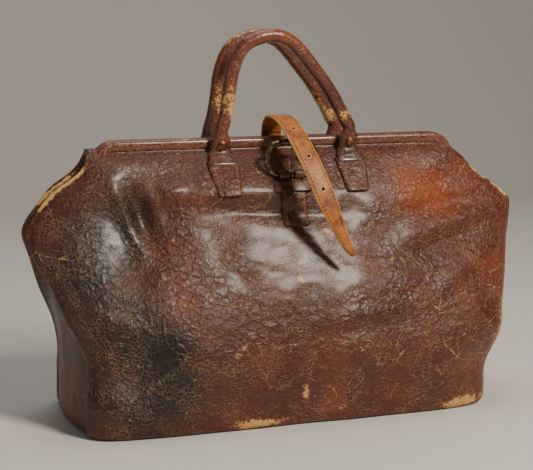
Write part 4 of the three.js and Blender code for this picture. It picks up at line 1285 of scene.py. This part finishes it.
class DOCTORBAG_OT_strap(bpy.types.Operator):
    """Closing strap, its punched holes, its stitches and the end sewn to the rear panel"""

    bl_idname = "doctor_bag.strap"
    bl_label = "Strap"

    def execute(self, context):
        v, line, out, drift, half = strap_frame()
        sides = 36
        a = circle(sides)
        wide = squarish(np.cos(a), 0.35)
        thick = squarish(np.sin(a), 0.5)
        cup = 0.8 * wide**2 * smooth(v, 0.2, 0.5)[:, None]
        stand = 1.5 + 1.4 * thick - cup
        x = drift[:, None] + half[:, None] * wide
        rings = np.stack([x, line[:, :1] + out[:, :1] * stand, line[:, 1:] + out[:, 1:] * stand], -1)
        uv = np.stack([0.5 + 0.5 * wide + 0 * v[:, None], v[:, None] * 11 + 0 * wide], -1)
        obj = tube("strap_leather", rings, uv=uv)
        seal(obj)
        dress(obj, "tanned_strap_hide")
        self.bend(obj)
        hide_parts("strap")
        self.stitches(v, line, out, drift, half)
        self.holes(v, line, out, drift)
        self.sewn_end()
        return {"FINISHED"}

    def bend(self, obj):
        """Bakes the piece's transform into its mesh."""
        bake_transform(obj)

    def stitches(self, v, line, out, drift, half):
        shape, faces = stitch_shape(2.6, 0.34)
        axes, points = [], []
        for edge in (-1, 1):
            keep = v < 0.955
            inset = np.maximum(half - 3.0, 1.5)
            path = np.stack([drift + edge * inset,
                             line[:, 0] + out[:, 0] * 2.75, line[:, 1] + out[:, 1] * 2.75], -1)
            normal = np.stack([0 * v, out[:, 0], out[:, 1]], -1)
            turn, at = place_along(path[keep], normal[keep], 3.9)
            axes.append(turn)
            points.append(at)
        obj = many("strap_stitches", shape, faces, (np.concatenate(axes), np.concatenate(points)))
        dress(obj, "waxed_thread")
        self.bend(obj)

    def holes(self, v, line, out, drift):
        """Punched holes: a disc of painted shade in a raised pale ring on the strap's outer face; the strap
        is not cut through.
        """
        for number, share in enumerate(STRAP_HOLES, 1):
            at = np.array([np.interp(share, v, drift), *(np.interp(share, v, line[:, k])
                                                         for k in (0, 1))])
            normal = np.array([0, *(np.interp(share, v, out[:, k]) for k in (0, 1))])
            side = np.array([1.0, 0, 0])
            up = np.cross(normal, side)
            a = circle(24)
            for word, profile, finish in (
                ("ring", [(1.9, 2.7), (1.95, 3.05), (2.5, 3.15), (3.0, 2.95), (3.1, 2.6)],
                 "tanned_strap_hide"),
                # The hole is a near-black disc of painted shade on the strap's face.
                ("hole", [(0.02, 2.98), (1.0, 2.98), (1.98, 2.98), (1.98, 2.6)], "punched_hole"),
            ):
                p = np.array(profile)
                rings = (at + p[:, 1][:, None, None] * normal
                         + p[:, 0][:, None, None] * (np.cos(a)[..., None] * side
                                                     + np.sin(a)[..., None] * up))
                uv = np.full(rings.shape[:2] + (2,), 0.01)
                obj = tube(f"strap_{word}_{number}", rings, uv=uv)
                seal(obj)
                dress(obj, finish)
                self.bend(obj)

    def sewn_end(self):
        """The strap's sewn end on the rear panel, up behind the rear jaw to the bend."""
        half = sizes().strap / MM / 2
        z = np.linspace(0.72 * BAG_HEIGHT, STRAP_PIVOT[1] + 1, 60)[:, None]
        u = np.linspace(-1, 1, 20)[None]
        x = CENTRE_X + half * u + 0 * z
        face = np.maximum(FRAME_FACE, panel_depth(x, z) + panel_folds(1, x, z)
                          * smooth(PANEL_TOP - z, 0, 22))
        rise = smooth(z, 257, STRAP_PIVOT[1]) * (STRAP_PIVOT[0] - FRAME_FACE - 0.6)
        near = np.stack([x, face + 0.3 + rise, z + 0 * x], -1)
        far = np.stack([x, face + 0.3 + rise + 2.9 - 0.7 * smooth(np.abs(u), 0.85, 1), z + 0 * x], -1)
        obj = slab("strap_sewn_end", far, near,
                   uv=np.stack([0.5 + 0.5 * u + 0 * z, z / 30 + 0 * u], -1))
        dress(obj, "tanned_strap_hide")
        fold_with_jaw(obj)
        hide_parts("strap_base")
        stitches = stitch_rows("strap_sewn_end_stitches", 1, far[:48], (2, -3))
        fold_with_jaw(stitches)


class DOCTORBAG_OT_hardware(bpy.types.Operator):
    """Finishes for the frame's steel, the board and the ropes, which keep their own shapes"""

    bl_idname = "doctor_bag.hardware"
    bl_label = "Steel, Board and Rope"

    def execute(self, context):
        looks = {
            **dict.fromkeys(("front_jaw_bar", "rear_jaw_bar", "left_hinge_pin", "right_hinge_pin"),
                            ("dull_frame_steel", "steel")),
            "base_board": ("bookbinders_board", "board"),
            "base_lining": ("cotton_lining", "lining"),
            **dict.fromkeys(("front_handle_rope", "rear_handle_rope"), ("hemp_rope", "rope")),
        }
        for node, (finish, slot) in looks.items():
            dress(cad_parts[node], finish)
        return {"FINISHED"}


class DOCTORBAG_OT_studio(bpy.types.Operator):
    """Plain floor, soft lights and the camera"""

    bl_idname = "doctor_bag.studio"
    bl_label = "Studio"

    def execute(self, context):
        scene = context.scene
        bend = np.linspace(0, np.pi / 2, 24)
        profile = np.concatenate([
            [(-3000, 0), (1500, 0)],
            np.stack([1500 + 1200 * np.sin(bend), 1200 - 1200 * np.cos(bend)], -1)[1:],
            [(2700, 3500)],
        ])
        across = np.array([-4500.0, 4500.0])
        points = np.stack([across[None] + 0 * profile[:, :1], profile[:, :1] + 0 * across[None],
                           profile[:, 1:] + 0 * across[None]], -1)
        floor = make_piece("studio_floor", points.reshape(-1, 3), grid_faces(len(profile), 2))
        floor.data.materials.append(finish_named("studio_paper"))
        lights = (
            ("key_light", (0.78, -1.7, 1.75), 0.5, 68.0, (1.0, 0.91, 0.8)),
            ("fill_light", (-1.9, -1.2, 0.8), 1.2, 4.0, (0.95, 0.97, 1.0)),
            ("top_light", (0.0, 0.5, 2.0), 1.2, 13.0, (1.0, 0.97, 0.94)),
        )
        aim = Vector((0.0, 0.0, 0.15))
        for name, place, size, power, tint in lights:
            data = bpy.data.lights.new(name, "AREA")
            data.energy, data.size, data.color = power, size, tint
            lamp = bpy.data.objects.new(name, data)
            lamp.location = place
            lamp.rotation_euler = (aim - Vector(place)).to_track_quat("-Z", "Y").to_euler()
            scene.collection.objects.link(lamp)
        world = bpy.data.worlds.new("studio_air")
        world.use_nodes = True
        world.node_tree.nodes["Background"].inputs["Color"].default_value = (0.85, 0.87, 0.9, 1)
        world.node_tree.nodes["Background"].inputs["Strength"].default_value = 0.1
        scene.world = world
        camera_data = bpy.data.cameras.new("camera")
        camera_data.lens, camera_data.sensor_width = 97.5, 36.0
        camera = bpy.data.objects.new("camera", camera_data)
        scene.collection.objects.link(camera)
        azimuth, elevation, distance = math.radians(-20), math.radians(8.5), 1.5
        back = Vector((math.sin(azimuth) * math.cos(elevation),
                       -math.cos(azimuth) * math.cos(elevation), math.sin(elevation)))
        aim = Vector((-0.012, 0.0, 0.178))
        camera.matrix_world = (Matrix.Translation(aim + back * distance)
                               @ (-back).to_track_quat("-Z", "Y").to_matrix().to_4x4())
        scene.camera = camera
        return {"FINISHED"}


class DOCTORBAG_PT_panel(bpy.types.Panel):
    """Lists the pieces of the bag"""

    bl_label = "Doctor Bag"
    bl_idname = "DOCTORBAG_PT_panel"
    bl_space_type = "VIEW_3D"
    bl_region_type = "UI"
    bl_category = "Doctor Bag"

    def draw(self, context):
        column = self.layout.column()
        for operator in OPERATORS:
            column.operator(operator.bl_idname)
        for group in (context.scene.doctor_bag_sizes, context.scene.doctor_bag_looks):
            for key in group.__annotations__:
                column.prop(group, key)


OPERATORS = (
    DOCTORBAG_OT_body,
    DOCTORBAG_OT_base,
    DOCTORBAG_OT_lining,
    DOCTORBAG_OT_jaws,
    DOCTORBAG_OT_handles,
    DOCTORBAG_OT_tabs,
    DOCTORBAG_OT_buckle,
    DOCTORBAG_OT_strap,
    DOCTORBAG_OT_hardware,
    DOCTORBAG_OT_studio,
)
CLASSES = (DoctorBagSizes, DoctorBagLooks, *OPERATORS, DOCTORBAG_PT_panel)


def register():
    for cls in CLASSES:
        bpy.utils.register_class(cls)
    bpy.types.Scene.doctor_bag_sizes = PointerProperty(type=DoctorBagSizes)
    bpy.types.Scene.doctor_bag_looks = PointerProperty(type=DoctorBagLooks)


def unregister():
    del bpy.types.Scene.doctor_bag_looks
    del bpy.types.Scene.doctor_bag_sizes
    for cls in reversed(CLASSES):
        bpy.utils.unregister_class(cls)


def main():
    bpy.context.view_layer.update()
    register()
    for operator in OPERATORS:
        group, name = operator.bl_idname.split(".")
        getattr(getattr(bpy.ops, group), name)()


if __name__ == "__main__":
    main()
